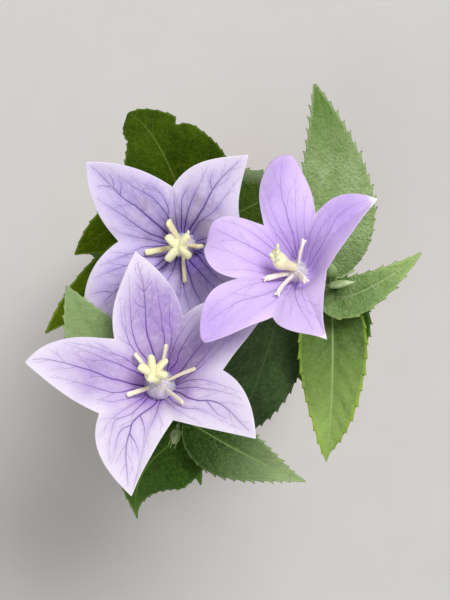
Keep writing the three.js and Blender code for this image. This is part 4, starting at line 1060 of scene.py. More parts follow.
class Veins:
    """Main veins along the lines of the photo, with branches that grow towards the margins."""

    step = 0.6
    limit = 0.96
    touching = 0.45
    side_width, twig_width = 0.26, 0.22
    pulls = (0.012, 0.16, 0.2)
    tones = (1, 0.4, 0.28)

    def __init__(self, corolla, seed):
        self.corolla = corolla
        self.random = np.random.default_rng(seed)
        self.paths = []
        self.branches = []
        for width, runs_on, *pixels in corolla.bloom["veins"]:
            self.follow(width, runs_on, np.reshape(pixels, (-1, 2)))
        for bearing, width in corolla.bloom.get("hidden_veins", []):
            start = polar(bearing, THROAT_FLOOR_RADIUS + 0.4)
            axis = self.nearest_axis(bearing)
            self.grow(start, math.radians(bearing), axis, width, 0, math.inf)
        while self.branches:
            self.grow(*self.branches.pop(0))

    def nearest_axis(self, bearing):
        """Direction in which the lobe under a bearing points."""
        tips = [lobe["tip"][0] for lobe in self.corolla.lobes]
        return math.radians(min(tips, key=lambda tip: abs((bearing - tip + 180) % 360 - 180)))

    def follow(self, width, runs_on, pixels):
        """A vein along points of the photo."""
        marks = np.array([self.corolla.under_pixel(px, py) for px, py in pixels])
        if width > 0.35 and np.linalg.norm(marks[0]) < 9:
            marks = np.concatenate([[unit(marks[0]) * (THROAT_FLOOR_RADIUS + 0.3)], marks])
        count = max(4, int(path_lengths(marks).sum() / self.step))
        path = even_points(catmull_rom(marks), count)
        wander = np.cumsum(self.random.normal(0, 0.025, (count, 2)), axis=0)
        path = path + wander - wander[-1] * np.linspace(0, 1, count)[:, None]
        self.paths.append((path, width, 0))
        end = path[-1] - path[-3]
        heading = math.atan2(end[1], end[0])
        bearing = math.degrees(math.atan2(path[-1][1], path[-1][0]))
        if runs_on:
            axis = heading + 0.5 * wrapped(self.nearest_axis(bearing) - heading)
            self.branches.append((path[-1], heading, axis, width * 0.5, 1, math.inf))
        if width > 0.34:
            self.branch_off(path, width)

    def branch_off(self, path, width):
        """Side veins leave a main vein on alternate sides in its outer part."""
        count = len(path)
        gap, start = (3.4, 0.35) if width > 0.6 else (5, 0.5)
        side = self.random.choice([-1, 1])
        travelled = start * count * self.step
        while travelled < (count - 4) * self.step:
            k = int(travelled / self.step)
            line = path[k + 2] - path[k - 1]
            heading = math.atan2(line[1], line[0])
            angle = side * self.random.uniform(0.5, 0.75)
            reach = self.random.uniform(4, 7.5)
            self.branches.append((path[k], heading + angle, heading, self.side_width, 1, reach))
            side = -side
            travelled += gap * self.random.uniform(0.7, 1.3)

    def grow(self, start, heading, axis, width, level, length):
        """Follows one vein outward, bending towards its lobe's line, until it meets another."""
        point = np.array(start, float)
        path = [point]
        travelled = drift = 0.0
        others = np.concatenate([other for other, _, _ in self.paths])
        until_branch = self.random.uniform(2.5, 4)
        turn = self.random.choice([-1, 1])
        while travelled < length:
            drift = 0.85 * drift + self.random.normal(0, 0.014)
            pull = -wrapped(heading - axis) * self.pulls[level]
            heading += (pull + drift) * self.step
            point = point + np.array([math.cos(heading), math.sin(heading)]) * self.step
            g, _ = self.corolla.share(point[:1], point[1:])
            if g[0] > self.limit - 0.02 * level:
                break
            path.append(point)
            travelled += self.step
            until_branch -= self.step
            if travelled > 1.6 and np.linalg.norm(others - point, axis=1).min() < self.touching:
                break
            if until_branch < 0 and level < 2:
                turn = -turn
                angle = self.random.uniform(0.45, 0.7) * turn
                branch = point, heading + angle, heading, self.twig_width, 2
                self.branches.append((*branch, self.random.uniform(1.5, 3.2)))
                until_branch = self.random.uniform(2.4, 4.2)
        if len(path) > 3:
            self.paths.append((np.array(path), width, level))

    def ribs(self):
        """Low closed ridges along the veins, half sunk into the petals."""
        spots, faces, tones = [], [], []
        offsets, shares, lifts = np.array(RIB_SECTION).T
        size = len(RIB_SECTION)
        start = 0
        for path, width, level in self.paths:
            count = len(path)
            tangents = unit_rows(np.gradient(path, axis=0))
            sides = np.stack([-tangents[:, 1], tangents[:, 0]], 1)
            t = np.linspace(0, 1, count)
            half = 0.5 * width * (1.15 - 0.7 * t)
            tone = self.corolla.bloom["vein_strength"] * self.tones[level]
            fade = np.clip(1.35 - np.linalg.norm(path, axis=1) / 42, 0.45, 1)
            tones.append(np.repeat(tone * (1 - 0.4 * t ** 2) * fade, size))
            spots.append(path[:, None] + (sides * half[:, None])[:, None] * offsets[:, None])
            quads = grid_faces(count, size, start, wrap=True)
            faces += [(a, d, c, b) for a, b, c, d in quads]
            end = start + size * (count - 1)
            faces += [tuple(range(start, start + size)), tuple(range(end, end + size))[::-1]]
            start = end + size
        x, y = np.concatenate([spot.reshape(-1, 2) for spot in spots]).T
        g, place = self.corolla.share(x, y)
        repeats = len(x) // size
        z = self.corolla.heights(x, y, place, g) + np.tile(lifts, repeats)
        values = self.corolla.values(x, y, place, g)
        values.update(vein=np.tile(shares, repeats), tone=np.concatenate(tones),
                      glow=self.glow(x, y))
        return np.stack([x, y, z], 1), faces, values

    def glow(self, x, y):
        """A soft field round the main veins, stronger near the throat."""
        points = np.stack([x, y], 1)
        field = np.zeros(len(points))
        for path, _, level in self.paths:
            if level > 1:
                continue
            centre = path.mean(0)
            span = np.linalg.norm(path - centre, axis=1).max() + 4
            near = np.nonzero(np.linalg.norm(points - centre, axis=1) < span)[0]
            if not len(near):
                continue
            gaps = np.linalg.norm(points[near][:, None] - path, axis=2).min(1)
            fade = np.clip(1.25 - np.linalg.norm(points[near], axis=1) / 30, 0.25, 1)
            local = bell(gaps, (1.1, 0.7)[level]) * fade * (1, 0.5)[level]
            field[near] = np.maximum(field[near], local)
        return field


def build_corolla(letter):
    corolla = Corolla(letter)
    veins = Veins(corolla, VEIN_SEEDS[letter])
    points, faces, values = corolla.sheet()
    none = np.zeros(len(points))
    values.update(vein=none, tone=none, glow=veins.glow(*points[:, :2].T))
    add_piece(f"petals_{letter}", [(points, faces, values), veins.ribs()],
              [f"corolla_{letter}"], f"petal_{letter}", letter, len(faces))


# Leaves

LEAVES = [
    dict(name="back_left", stem="b", z=170, bend=(-12, 43.5, 200), tip=(-23, 50.6, 191),
         half_width=16, belly=0.45, curl=0.08, blunt=0.15, nick=(0.765, 0.25), tooth=0.45,
         tooth_spacing=2, tone="dark"),
    dict(name="back_right", stem="d", z=183, bend=(38, 28.5, 204), tip=(30.3, 56.8, 203),
         half_width=10.1, belly=0.42, fold=0.1, tooth=1.25, sides=(1, 1.06), fullness=0.75,
         taper=0.45, tone="light"),
    dict(name="right", stem="d", z=186, bend=(35.5, -7.5, 194), outer_bend=[(49.7, 0.5, 203)],
         tip=(60.9, 9.4, 198), half_width=5.4, belly=0.27, fold=0.2, sides=(0.9, 1), tooth_spacing=4,
         tooth=1.05, tone="fresh"),
    dict(name="front_right", stem="d", z=180, bend=(36.7, -26.9, 197), tip=(35.7, -52, 172),
         half_width=9.3, belly=0.33, wave=1.9, quilt=0.5, tooth_spacing=4.4, tooth=0.8,
         tone="bright"),
    dict(name="right_under", stem="d", z=174, bend=(47.2, -8.4, 180), tip=(44.3, -22.7, 170),
         half_width=4, tone="rich"),
    # The middle leaf lies under the blooms, and its shade tone paints that shade.
    dict(name="centre", stem="c", z=168, bend=(16.4, -25.5, 184), tip=(7.5, -46, 168),
         half_width=10.2, belly=0.42, fullness=0.85, tone="shade"),
    dict(name="front_mid", stem="a", z=178, bend=(9.4, -49.2, 190), tip=(28.9, -58.3, 176),
         half_width=9.6, belly=0.35, sides=(0.72, 0.92), taper=0.5, tooth_spacing=2.7, tooth=1,
         tone="mid"),
    dict(name="front_left", stem="a", z=171, bend=(-5.5, -47.7, 176),
         outer_bend=[(-24.7, -49.1, 180)], tip=(-22.3, -71.6, 160), half_width=12, belly=0.3,
         taper=0.85, tooth=0.6, tone="rich"),
    dict(name="front_small", stem="a", z=160, bend=(-5.1, -50, 165), tip=(-2.6, -61.6, 157),
         half_width=2.4, tone="rich"),
    dict(name="left_pale", stem="a", z=188, bend=(-27.5, -28.2, 205), tip=(-39.1, 0, 206),
         half_width=9.2, belly=0.5, fold=0.08, clear=0.75, tooth_spacing=2.5, tooth=0.6, tone="pale"),
    dict(name="left_slim", stem="b", z=163, bend=(-27.9, 7.4, 181), tip=(-49, -13.9, 174),
         half_width=7.6, tooth=0.5, tone="moss", slot="leaf_mid"),
    dict(name="left", stem="b", z=147, bend=(-20.3, 28, 169), tip=(-41, 10, 166), half_width=8.2,
         belly=0.48, sides=(1.3, 1), tooth=0.45, tone="moss"),
    dict(name="middle", stem="b", z=157, bend=(8.9, 23.5, 176), tip=(27.8, 31, 172), half_width=12.4,
         sides=(1.12, 1), wave=1, tone="folded"),
    dict(name="shoot_young", stem="d", z=188.8, bend=(33.4, 1, 194), tip=(31.8, 2, 199),
         half_width=1.7, fold=0.3, wave=0, tooth=0.15, tone="pale"),
]

# Lower leaves: stem, base height, tip and half-width
LOWER_LEAVES = [
    ("a", 136, (-30.4, -55, 130), 7.5), ("a", 124, (10.4, -47, 118), 7.5),
    ("a", 112, (-44, -26, 118), 7), ("a", 96, (-17, -45, 100), 6.5),
    ("b", 136, (-30.9, 35.2, 136), 7.5), ("b", 124, (6, 43, 122), 7.5),
    ("b", 108, (-42.5, 12.6, 113), 8), ("b", 92, (-14.3, 38, 97), 6.5),
    ("c", 146, (37.5, -32.7, 140), 7.5), ("c", 126, (17, -36, 120), 7.5),
    ("c", 102, (34, -19.4, 104), 7),
    ("d", 148, (43.2, 27, 150), 7.5), ("d", 128, (22, 38.9, 128), 7),
    ("d", 110, (49, 6, 114), 7),
]
for number, (stem, height, tip, half_width) in enumerate(LOWER_LEAVES):
    root = STEM_CURVES[stem](0.5)
    bend = ((root[0] + tip[0]) / 2, (root[1] + tip[1]) / 2, max(height, tip[2]) + LOWER_LIFT)
    # Every other lower leaf takes the darker shade tone, which paints shade on it.
    LEAVES.append(dict(name=f"low_{stem}{number + 1}", stem=stem, z=height, bend=bend, tip=tip,
                       half_width=half_width, tone="mid" if number % 2 else "shade",
                       slot="leaf_mid", half_columns=7))


def blade_shares(t, leaf):
    """Half-widths to the left and right of an ovate blade's midrib, as shares of the leaf's own.
    It is widest at `belly`, fullness under 1 squares it off, and a taper draws its outer part in
    to a longer tip. The left side may end bluntly and the right side may have a nick."""
    power = math.log(0.5) / math.log(leaf["belly"])
    share = np.clip(np.sin(math.pi * np.power(t, power)), 0, 1) ** leaf["fullness"]
    share = share * (1 - leaf["taper"] * np.clip((t - 0.37) / 0.63, 0, 1) ** 1.2)
    left, right = [share * side for side in leaf["sides"]]
    blunt = leaf["blunt"]
    if blunt:
        beyond = np.maximum(0, t - 1 + blunt) / blunt
        shoulder = np.interp(1 - blunt, t, left)
        left = np.where(beyond > 0, np.maximum(left, shoulder * np.sqrt(1 - beyond ** 2)), left)
    place, depth = leaf["nick"]
    return left, right * (1 - depth * bell(t - place, 0.022))


# Places of the rows within one tooth: its tip, the notch behind it and the long outer side
TOOTH_ROWS = (0.0, 0.05, 0.2, 0.36, 0.52, 0.68, 0.82, 0.93)


def build_leaf(leaf, number):
    """A toothed blade with a creased midrib, raised panels between its veins and a wavy rim."""
    random = np.random.default_rng(LEAF_SEED + number)
    leaf = {**LEAF_FORM, **leaf}
    base = attachment(leaf["stem"], leaf["z"], leaf["bend"], leaf["clear"])
    curve = bezier(base, leaf["bend"], *leaf["outer_bend"], leaf["tip"])
    length = path_lengths(even_points(curve, 60)).sum()
    teeth = max(4, round(length / leaf["tooth_spacing"]))
    side_veins = max(4, round(length / SIDE_VEIN_SPACING))
    t = np.array([(i + row) / teeth for i in range(teeth) for row in TOOTH_ROWS] + [1.0])
    u = np.linspace(0, 1, leaf["half_columns"] + 1) ** 0.8
    u = np.concatenate([-u[:0:-1], u])
    centre = even_points(curve, t)
    along = unit_rows(np.gradient(centre, axis=0))
    aside = unit_rows(np.cross(along, UP))
    normal = np.cross(aside, along)
    shares = blade_shares(t, leaf)
    least = ROOT_HALF_WIDTH * (1 - t) + TIP_HALF_WIDTH * t
    widths = [least + leaf["half_width"] * share for share in shares]
    sag = leaf["curl"] * length * np.maximum(0, (t - 0.55) / 0.45) ** 2
    phase = np.mod(t * teeth, 1)
    size = leaf["tooth"] * np.minimum(1, widths[1] / 3.2)
    saw = np.where(phase < 0.03, 1.0, phase ** 3)
    saw[0] = saw[-1] = 0
    nearest = np.minimum((t * teeth + 0.5).astype(int), teeth)
    points = np.zeros((len(t), len(u), 3))
    values = {key: np.zeros((len(t), len(u))) for key in ("rib", "phase", "edge", "along")}
    for column, place in enumerate(u):
        w, right = abs(place), int(place > 0)
        share, width = shares[right], widths[right]
        variation = 0.75 + 0.5 * random.random(teeth + 1)
        tooth = size * saw * max(0.0, (w - 0.8) / 0.2) ** 1.5
        tooth = tooth * variation[nearest] if w == 1 else tooth
        reach = (1 if right else -1) * (w * width + 0.62 * tooth)
        ripple = leaf["wave"] * np.sin(1.3 * TURN * t + (2.2, 0.6)[right]) * w * w
        vein_phase = t * side_veins - 1.5 * w ** 1.25 * width / SIDE_VEIN_SPACING
        panel = leaf["quilt"] * (0.5 - 0.5 * np.cos(TURN * (vein_phase - 0.5)))
        panel = panel * np.clip(4 * w * (1.05 - w), 0, 1)
        crease = CREASE_DEPTH * bell(w * width, 0.7) * share
        rise = leaf["fold"] * np.abs(reach) * share + ripple + panel * share ** 0.5 - crease
        point = centre + aside * reach[:, None] + along * (0.75 * tooth)[:, None]
        point += normal * rise[:, None]
        point[:, 2] -= sag
        points[:, column] = point
        rim = (1 - w) * width + 0.5 * size * (1 - saw) * (w > 0.99)
        for key, numbers in zip(values, (w * width, vein_phase, rim, t)):
            values[key][:, column] = numbers
    listed = {key: numbers[:, ::-1].ravel() for key, numbers in values.items()}
    thickness = LEAF_THICKNESS - 0.3 * np.exp(-listed["edge"] / 1.2)
    add_piece(f"blade_{leaf['name']}", [sheet_part(points[:, ::-1], thickness, listed)],
              [f"leaf_{leaf['name']}"], f"leaf_{leaf['tone']}")


# Stems and calyxes

def build_stem(name):
    """A round stem with a slight swelling at each leaf."""
    centres = even_points(STEM_CURVES[name], STEM_STEPS)
    radii = STEM_RADIUS * (1 - STEM_TAPER * np.linspace(0, 1, STEM_STEPS))
    for leaf in LEAVES:
        if leaf["stem"] == name:
            radii = radii + NODE_SWELLING * bell(centres[:, 2] - leaf["z"], 1.8)
    twist = 0.06 * np.arange(STEM_STEPS)[:, None]
    bumps = 0.035 * np.cos(5 * ring(STEM_SIDES) + twist)
    add_piece(f"stalk_{name}", [tube_part(centres, radii, STEM_SIDES, bumps=bumps)],
              [f"stem_{name}"], "stem")


def build_calyx(letter):
    """A ribbed cup with five pointed sepals under the corolla."""
    bloom = BLOOMS[letter]
    top = -PETAL_THICKNESS - 0.3
    outline = [(0.02, -1), (1.2, -1), (1.6, -0.93), (2.5, -0.8), (3.4, -0.66), (4.05, -0.5),
               (CALYX_RADIUS, -0.34), (4.0, -0.2)]
    profile = [(radius, share * CALYX_HEIGHT) for radius, share in outline]
    profile = np.array(profile + [(3.3, top), (0.02, top)])
    turns = [math.radians(lobe["sinus"][0]) for lobe in bloom["lobes"]]
    angles = ring(CALYX_SIDES)
    ridge = np.max([np.cos(angles - turn) for turn in turns], axis=0) ** 24
    points = ring_points(profile[:, :1] * (1 + 0.07 * ridge), profile[:, 1:], angles)
    along = 0.3 + 0.3 * (points[:, 2] + CALYX_HEIGHT) / CALYX_HEIGHT
    cup = points, grid_faces(len(profile), CALYX_SIDES, wrap=True), {"along": along}
    sepals = [sepal_part(turn, bloom["slope"]) for turn in turns]
    add_piece(f"cup_{letter}", [cup] + sepals, [f"calyx_{letter}"], "calyx", letter)


def sepal_part(turn, slope):
    """A pointed sepal that follows the underside of the corolla."""
    rows, columns = 14, 9
    t = np.linspace(0, 1, rows)[:, None]
    u = np.linspace(-1, 1, columns)
    radius = SEPAL_ROOT + (SEPAL_REACH - SEPAL_ROOT) * t
    aside = u * (SEPAL_HALF_WIDTH * (1 - t) ** 0.75 * (1 + 0.5 * t) + 0.08)
    z = bowl_height(radius, slope) - SEPAL_CLEARANCE + 0.3 * u * u * (1 - t)
    top = np.stack([radius * math.cos(turn) - aside * math.sin(turn),
                    radius * math.sin(turn) + aside * math.cos(turn), z], 2)
    return sheet_part(top, np.full(top.shape[:2], SEPAL_THICKNESS),
                      {"along": np.repeat(np.linspace(0.5, 1, rows), columns)})


# Stamens and styles: dome size, then bearing, reach, height and thickness of each filament, the
# style's foot, top, radius and swelling, and the stigma's lobes like the filaments
HEARTS = {
    "a": dict(dome_radius=4, dome_height=5.2, dome_turn=20, forked=False, look="filament",
              filaments=[(212, 8.9, 7.9, 0.85), (10, 10.9, 9.8, 0.8), (316, 10.8, 9.7, 0.9),
              (74, 9.4, 9, 1.4), (131, 9, 8.6, 1.25)], style=(5.9, 12, 1.3, 0), lean=(0, 0),
              stigma=[(154, 4.1, 0.6, 1.1), (99, 4.6, 0.8, 1.15), (45, 4.9, 0.8, 1.1),
              (347, 3.7, 0.4, 1.15), (256, 2.4, 0.2, 1.2)]),
    "b": dict(dome_radius=3.4, dome_height=4.6, dome_turn=0, forked=False, look="filament_yellow",
              filaments=[(189, 10, 8.7, 1.1), (278, 10.1, 8.8, 1.5), (0, 5.7, 5, 1.9),
              (116, 7.8, 7.2, 2), (62, 4.6, 5.2)], style=(5.3, 10.8, 1.3, 0), lean=(0, 0),
              stigma=[(133, 4.3, 0.6, 1.05), (49, 4.5, 0.6, 1.05), (322, 4.4, 0.6, 1.1),
              (230, 4.7, 0.6, 1.1)]),
    "c": dict(dome_radius=2.8, dome_height=4.2, dome_turn=40, forked=True, look="filament_pale",
              filaments=[(66, 6.7, 7.2, 1.25), (214, 8.1, 8, 0.9), (254, 10.6, 10.2),
              (303, 6, 6, 1.6), (140, 4.4, 5)], style=(4.6, 12.2, 1.15, 1.05), lean=(-3.1, -0.5),
              stigma=[(50, 1.8, 3.8, 0.45), (52, 1.2, 2, 0.8), (150, 1.4, 0.6, 0.8),
              (200, 1.3, 0.2, 0.75), (100, 1.4, 1, 0.8), (310, 1.2, 0.2, 0.75)]),
}


def hair_part(root, direction, length, radius):
    """One fine three-sided hair."""
    first, second = across(direction)
    points = [root + (first * math.cos(angle) + second * math.sin(angle)) * radius
              for angle in ring(3)]
    points.append(root + np.asarray(direction) * length)
    faces = [(0, 1, 3), (1, 2, 3), (2, 0, 3), (0, 2, 1)]
    return points, faces, {"along": [0.6, 0.6, 0.6, 1], "down": [1] * 4}


def dome_share(s, crown=0):
    """The dome's radius at a share of its height, where its top may stay open by `crown`."""
    shoulder = np.maximum(crown, np.sqrt(1 - s ** 2.6))
    return shoulder * (0.72 + 0.28 * np.minimum(1, s * 4))


def dome_part(heart, random):
    """The dome of five hairy filament bases."""
    sides, levels = 50, 16
    s = np.linspace(0, 1, levels)[:, None]
    angles = ring(sides) + math.radians(heart["dome_turn"])
    lobes = 0.95 + 0.1 * np.abs(np.cos(2.5 * angles))
    radii = heart["dome_radius"] * dome_share(s, DOME_CROWN) * lobes
    radii = radii * (1 + random.normal(0, 0.012, (levels, sides)))
    points = ring_points(radii, 0.6 * GAP + heart["dome_height"] * s, angles)
    along = np.repeat(0.1 + 0.9 * s, sides)
    return points, capped_faces(levels, sides), {"along": along, "down": np.zeros(len(along))}


OCTAHEDRON = np.array([(1, 0, 0), (-1, 0, 0), (0, 1, 0), (0, -1, 0), (0, 0, 1), (0, 0, -1)])
OCTAHEDRON_FACES = [(0, 2, 4), (2, 1, 4), (1, 3, 4), (3, 0, 4), (2, 0, 5), (1, 2, 5), (3, 1, 5),
                    (0, 3, 5)]


def dome_hairs(heart, random):
    """White down on the dome, combed outward from its crown, and bright dots round its foot."""
    parts = []
    for _ in range(DEW_COUNT):
        angle = random.random() * TURN
        radius = heart["dome_radius"] + random.uniform(-0.1, 0.25)
        centre = radius * math.cos(angle), radius * math.sin(angle), GAP + 0.5
        parts.append((centre + random.uniform(0.2, 0.34) * OCTAHEDRON, OCTAHEDRON_FACES,
                      {"along": [1] * 6, "down": [2] * 6}))
    for _ in range(HAIR_COUNT):
        s = random.random() ** 0.7
        angle = random.random() * TURN
        out = np.array([math.cos(angle), math.sin(angle), 0])
        root = out * heart["dome_radius"] * dome_share(s) * 0.98
        root = root + UP * (GAP + heart["dome_height"] * s)
        direction = unit(out + UP * (0.2 + 1.2 * s) + random.normal(0, 0.35, 3))
        parts.append(hair_part(root, direction, random.uniform(0.45, 1.0), HAIR_RADIUS))
    return parts


def soft_bumps(steps, sides, size, random):
    """Uneven relief that runs mostly lengthwise."""
    places = np.linspace(0, 1, steps)[:, None]
    relief = np.zeros((steps, sides))
    for waves in (2, 3, 5):
        phase, drift = random.uniform(0, TURN), random.uniform(-2, 2)
        relief += np.cos(waves * ring(sides) + phase + drift * places) / waves
    return size * relief + random.normal(0, 0.012, (steps, sides))


def filament_parts(heart, filament, random):
    """A spent filament: a flat, ragged strip, with a forked end in the youngest bloom."""
    bearing, reach, height, *rest = filament
    thickness = rest[0] if rest else 1
    out = polar(bearing, 1)
    dome_height = heart["dome_height"]
    root = (*out, dome_height * 0.55)
    middle = (*(out * reach * 0.55), max(dome_height * 0.8, height * 0.78))
    count, sides = 26, 14
    t = np.linspace(0, 1, count)
    centres = even_points(bezier(root, middle, (*(out * reach), height)), count)
    wobble = np.cumsum(random.normal(0, 0.022, (count, 3)), axis=0)
    centres = centres + wobble * t[:, None]
    radii = FILAMENT_RADIUS * thickness * (0.8 + 0.45 * t)
    radii = radii * (1 + random.normal(0, 0.025, count))
    radii[-1] *= 0.88
    bumps = soft_bumps(count, sides, 0.13, random)
    parts = [tube_part(centres, radii, sides, squash=0.5, bumps=bumps)]
    line = unit(centres[-1] - centres[-4])
    for side in (-1, 1) if heart["forked"] else ():
        prong = unit(line + side * np.cross(line, UP) * random.uniform(0.7, 1.1))
        steps = np.linspace(-0.3, random.uniform(0.8, 1.2), 8)[:, None]
        fork = FORK_RADIUS * thickness * np.linspace(1, 0.75, 8)
        parts.append(tube_part(centres[-1] + prong * steps, fork, 10, squash=0.7))
    return parts


def build_heart(letter, number):
    """The dome, the spent filaments and the style with its stigma."""
    heart = HEARTS[letter]
    random = np.random.default_rng(HEART_SEED + number)
    hairs = dome_hairs(heart, random)
    add_piece(f"dome_{letter}", [dome_part(heart, random)] + hairs,
              [f"stamens_{letter}"], "dome", letter)
    parts = []
    for filament in heart["filaments"]:
        parts += filament_parts(heart, filament, random)
    add_piece(f"filaments_{letter}", parts, [], heart["look"], letter)
    build_style(letter, heart, random)


def build_style(letter, heart, random):
    """A column that ends in spread or closed lobes, covered with fine down."""
    foot, top, radius, swell = heart["style"]
    count, sides = 44, 30
    t = np.linspace(0, 1, count)
    lean = np.array([*heart["lean"], 0.0])
    centres = np.outer(np.sin(0.5 * math.pi * t), lean) + np.outer(foot + (top - foot) * t, UP)
    radii = radius * (1 + swell * np.sin(math.pi * t ** 1.8))
    bumps = soft_bumps(count, sides, 0.09, random)
    parts = [tube_part(centres, radii, sides, squash=0.8, bumps=bumps)]
    if not heart["forked"]:
        hub = np.outer((top - 0.9, top - 0.3, top + 0.35), UP) + lean
        parts.append(tube_part(hub, np.array([1.4, 2, 1.4]) * radius, 16))
    for bearing, reach, lift, thickness in heart["stigma"]:
        count, sides = 16, 18
        out = polar(bearing, reach)
        curve = bezier(lean + (0, 0, top - 0.7), lean + (*(out * 0.55), top + 0.5 * lift + 0.5),
                       lean + (*out, top + lift))
        girth = 1.3 * thickness * (0.95 + 0.2 * np.sin(2.6 * np.linspace(0, 1, count)))
        girth[-1] *= 0.86
        bumps = soft_bumps(count, sides, 0.14, random)
        bumps += random.normal(0, 0.035, (count, sides))
        parts.append(tube_part(even_points(curve, count), girth, sides, 0.6, bumps))
    down = []
    for points, _, _ in parts:
        centre = points.mean(0)
        for index in random.choice(len(points), min(STYLE_HAIRS, len(points)), replace=False):
            out = unit(points[index] - centre + random.normal(0, 0.4, 3))
            length = random.uniform(0.12, 0.28)
            down.append(hair_part(points[index], out, length, STYLE_HAIR_RADIUS))
    add_piece(f"pistil_{letter}", parts + down, [f"style_{letter}"], "stigma", letter)


# Buds: the share of the length that is stalk, and how far the sepals reach up the bud

SHOOT_TOP = np.array([37.1, 0.6, 190 + GAP])
BUDS = [
    dict(name="round", foot=SHOOT_TOP + (-0.6, 0.5, 0.25), middle=(36, 2.6, 196),
         top=(34.7, 6.3, 201), radius=1.6, stalk_share=0.4, sepals=0.35, look="bud"),
    dict(name="slim", foot=SHOOT_TOP + (0.6, -0.5, 0.2), middle=(30.6, -0.4, 198),
         top=(41.8, 1.1, 199), radius=1.15, stalk_share=0.38, sepals=0, look="bud_pale"),
    dict(name="front", foot=attachment("a", 181, (-10, -48, 188), GAP + STALK_RADIUS),
         middle=(-9, -43, 186), top=(-10, -45.4, 192), radius=1.5, stalk_share=0.3,
         sepals=1.15, look="bud_dull_painted_highlights"),
]


def bud_outline(s, radius):
    """The bud's radius at a share of its length."""
    return radius * np.sin(math.pi * s ** 0.85) ** 0.75


def build_bud(bud):
    """A closed bud on a short stalk, with narrow sepals along its lower part."""
    count, sides = 48, 40
    stalk = bud["stalk_share"]
    s = np.clip((np.linspace(0, 1, count) - stalk) / (1 - stalk), 0, 1)
    radii = np.maximum(np.where(s > 0, bud_outline(s, bud["radius"]), STALK_RADIUS), 0.2)
    radii = np.where(s < 0.25, np.maximum(radii, STALK_RADIUS), radii)
    bumps = np.outer(np.clip(s * 3, 0, 1), 0.03 * np.cos(5 * ring(sides)))
    centres = even_points(bezier(bud["foot"], bud["middle"], bud["top"]), count)
    parts = [tube_part(centres, radii, sides, bumps=bumps)]
    root = centres[int(stalk * (count - 1))]
    line = centres[-1] - root
    first, second = across(line)
    for turn in ring(5) if bud["sepals"] else ():
        out = first * math.cos(turn) + second * math.sin(turn)
        places = np.linspace(0.02, bud["sepals"], 12)
        sizes = bud_outline(np.minimum(places, 0.75), bud["radius"]) + 0.02
        parts.append(tube_part(root + np.outer(places, line) + np.outer(sizes, out),
                               0.36 * np.linspace(1, 0.25, 12), 10))
    add_piece(f"button_{bud['name']}", parts, [f"bud_{bud['name']}"], bud["look"])


# Pot and soil

def pot_inner_radius(z):
    outer_at_band = POT_RIM_RADIUS - POT_BAND_STEP
    slope = (outer_at_band - POT_FOOT_RADIUS) / POT_BAND_FOOT
    return min(POT_FOOT_RADIUS + slope * z, outer_at_band) - POT_WALL


def rounded(corners, radius):
    """A profile with each inner corner rounded, apart from the first and the last."""
    corners = [np.array(corner, float) for corner in corners]
    points = [corners[0]]
    for before, corner, after in zip(corners, corners[1:], corners[2:]):
        back, ahead = before - corner, after - corner
        cut = min(radius, 0.45 * np.linalg.norm(back), 0.45 * np.linalg.norm(ahead))
        arc = bezier(corner + unit(back) * cut, corner, corner + unit(ahead) * cut)
        points += [arc(t) for t in np.linspace(0, 1, 5)]
    return np.array(points + [corners[-1]])


def build_pot():
    """A thrown clay pot with a rim band and drainage holes."""
    neck = pot_inner_radius(POT_BAND_FOOT)
    corners = rounded([
        (0.01, 0), (POT_FOOT_RADIUS, 0), (POT_RIM_RADIUS - POT_BAND_STEP, POT_BAND_FOOT),
        (POT_RIM_RADIUS, POT_BAND_FOOT + 0.6), (POT_RIM_RADIUS, POT_HEIGHT),
        (neck + 1.6, POT_HEIGHT), (neck, POT_HEIGHT - 4), (neck, POT_BAND_FOOT),
        (pot_inner_radius(POT_FLOOR), POT_FLOOR), (0.01, POT_FLOOR),
    ], POT_EDGE_ROUNDING)
    spans = [np.linspace(a, b, 8)[1:] for a, b in zip(corners[5:], corners[6:])]
    radii, z = np.concatenate([corners[:6], *spans]).T[:, :, None]
    angles = ring(POT_SIDES)
    wobble = 1 + 0.0016 * np.sin(2 * angles + z / 30) + 0.001 * np.sin(5 * angles)
    points = ring_points(radii * np.where(radii > 20, wobble, 1), z, angles)
    worn = bell(z - POT_HEIGHT, 2.5) + bell(z - POT_BAND_FOOT, 2) * (radii > 41)
    worn = np.minimum(1, worn + bell(z, 3) * (radii > 28))
    piece = mesh_object("clay_pot", points, capped_faces(len(z), POT_SIDES),
                        {"wear": np.repeat(worn, POT_SIDES)})
    for bearing in ring(DRAIN_COUNT):
        place = DRAIN_CIRCLE_RADIUS * MM * np.array([math.cos(bearing), math.sin(bearing), 0])
        bpy.ops.mesh.primitive_cylinder_add(vertices=32, radius=DRAIN_RADIUS * MM,
                                            depth=4 * POT_FLOOR * MM, location=place)
        cutter = bpy.context.object
        bore = piece.modifiers.new("bore", "BOOLEAN")
        bore.operation = "DIFFERENCE"
        bore.object = cutter
        bpy.context.view_layer.objects.active = piece
        bpy.ops.object.modifier_apply(modifier=bore.name)
        bpy.data.objects.remove(cutter)
    dress(piece, ["pot"], "clay")


def soil_rise(x, y):
    """The slow rise and fall of the soil's top."""
    return 1.1 * np.sin(0.31 * x + 1) * np.cos(0.27 * y - 0.4)


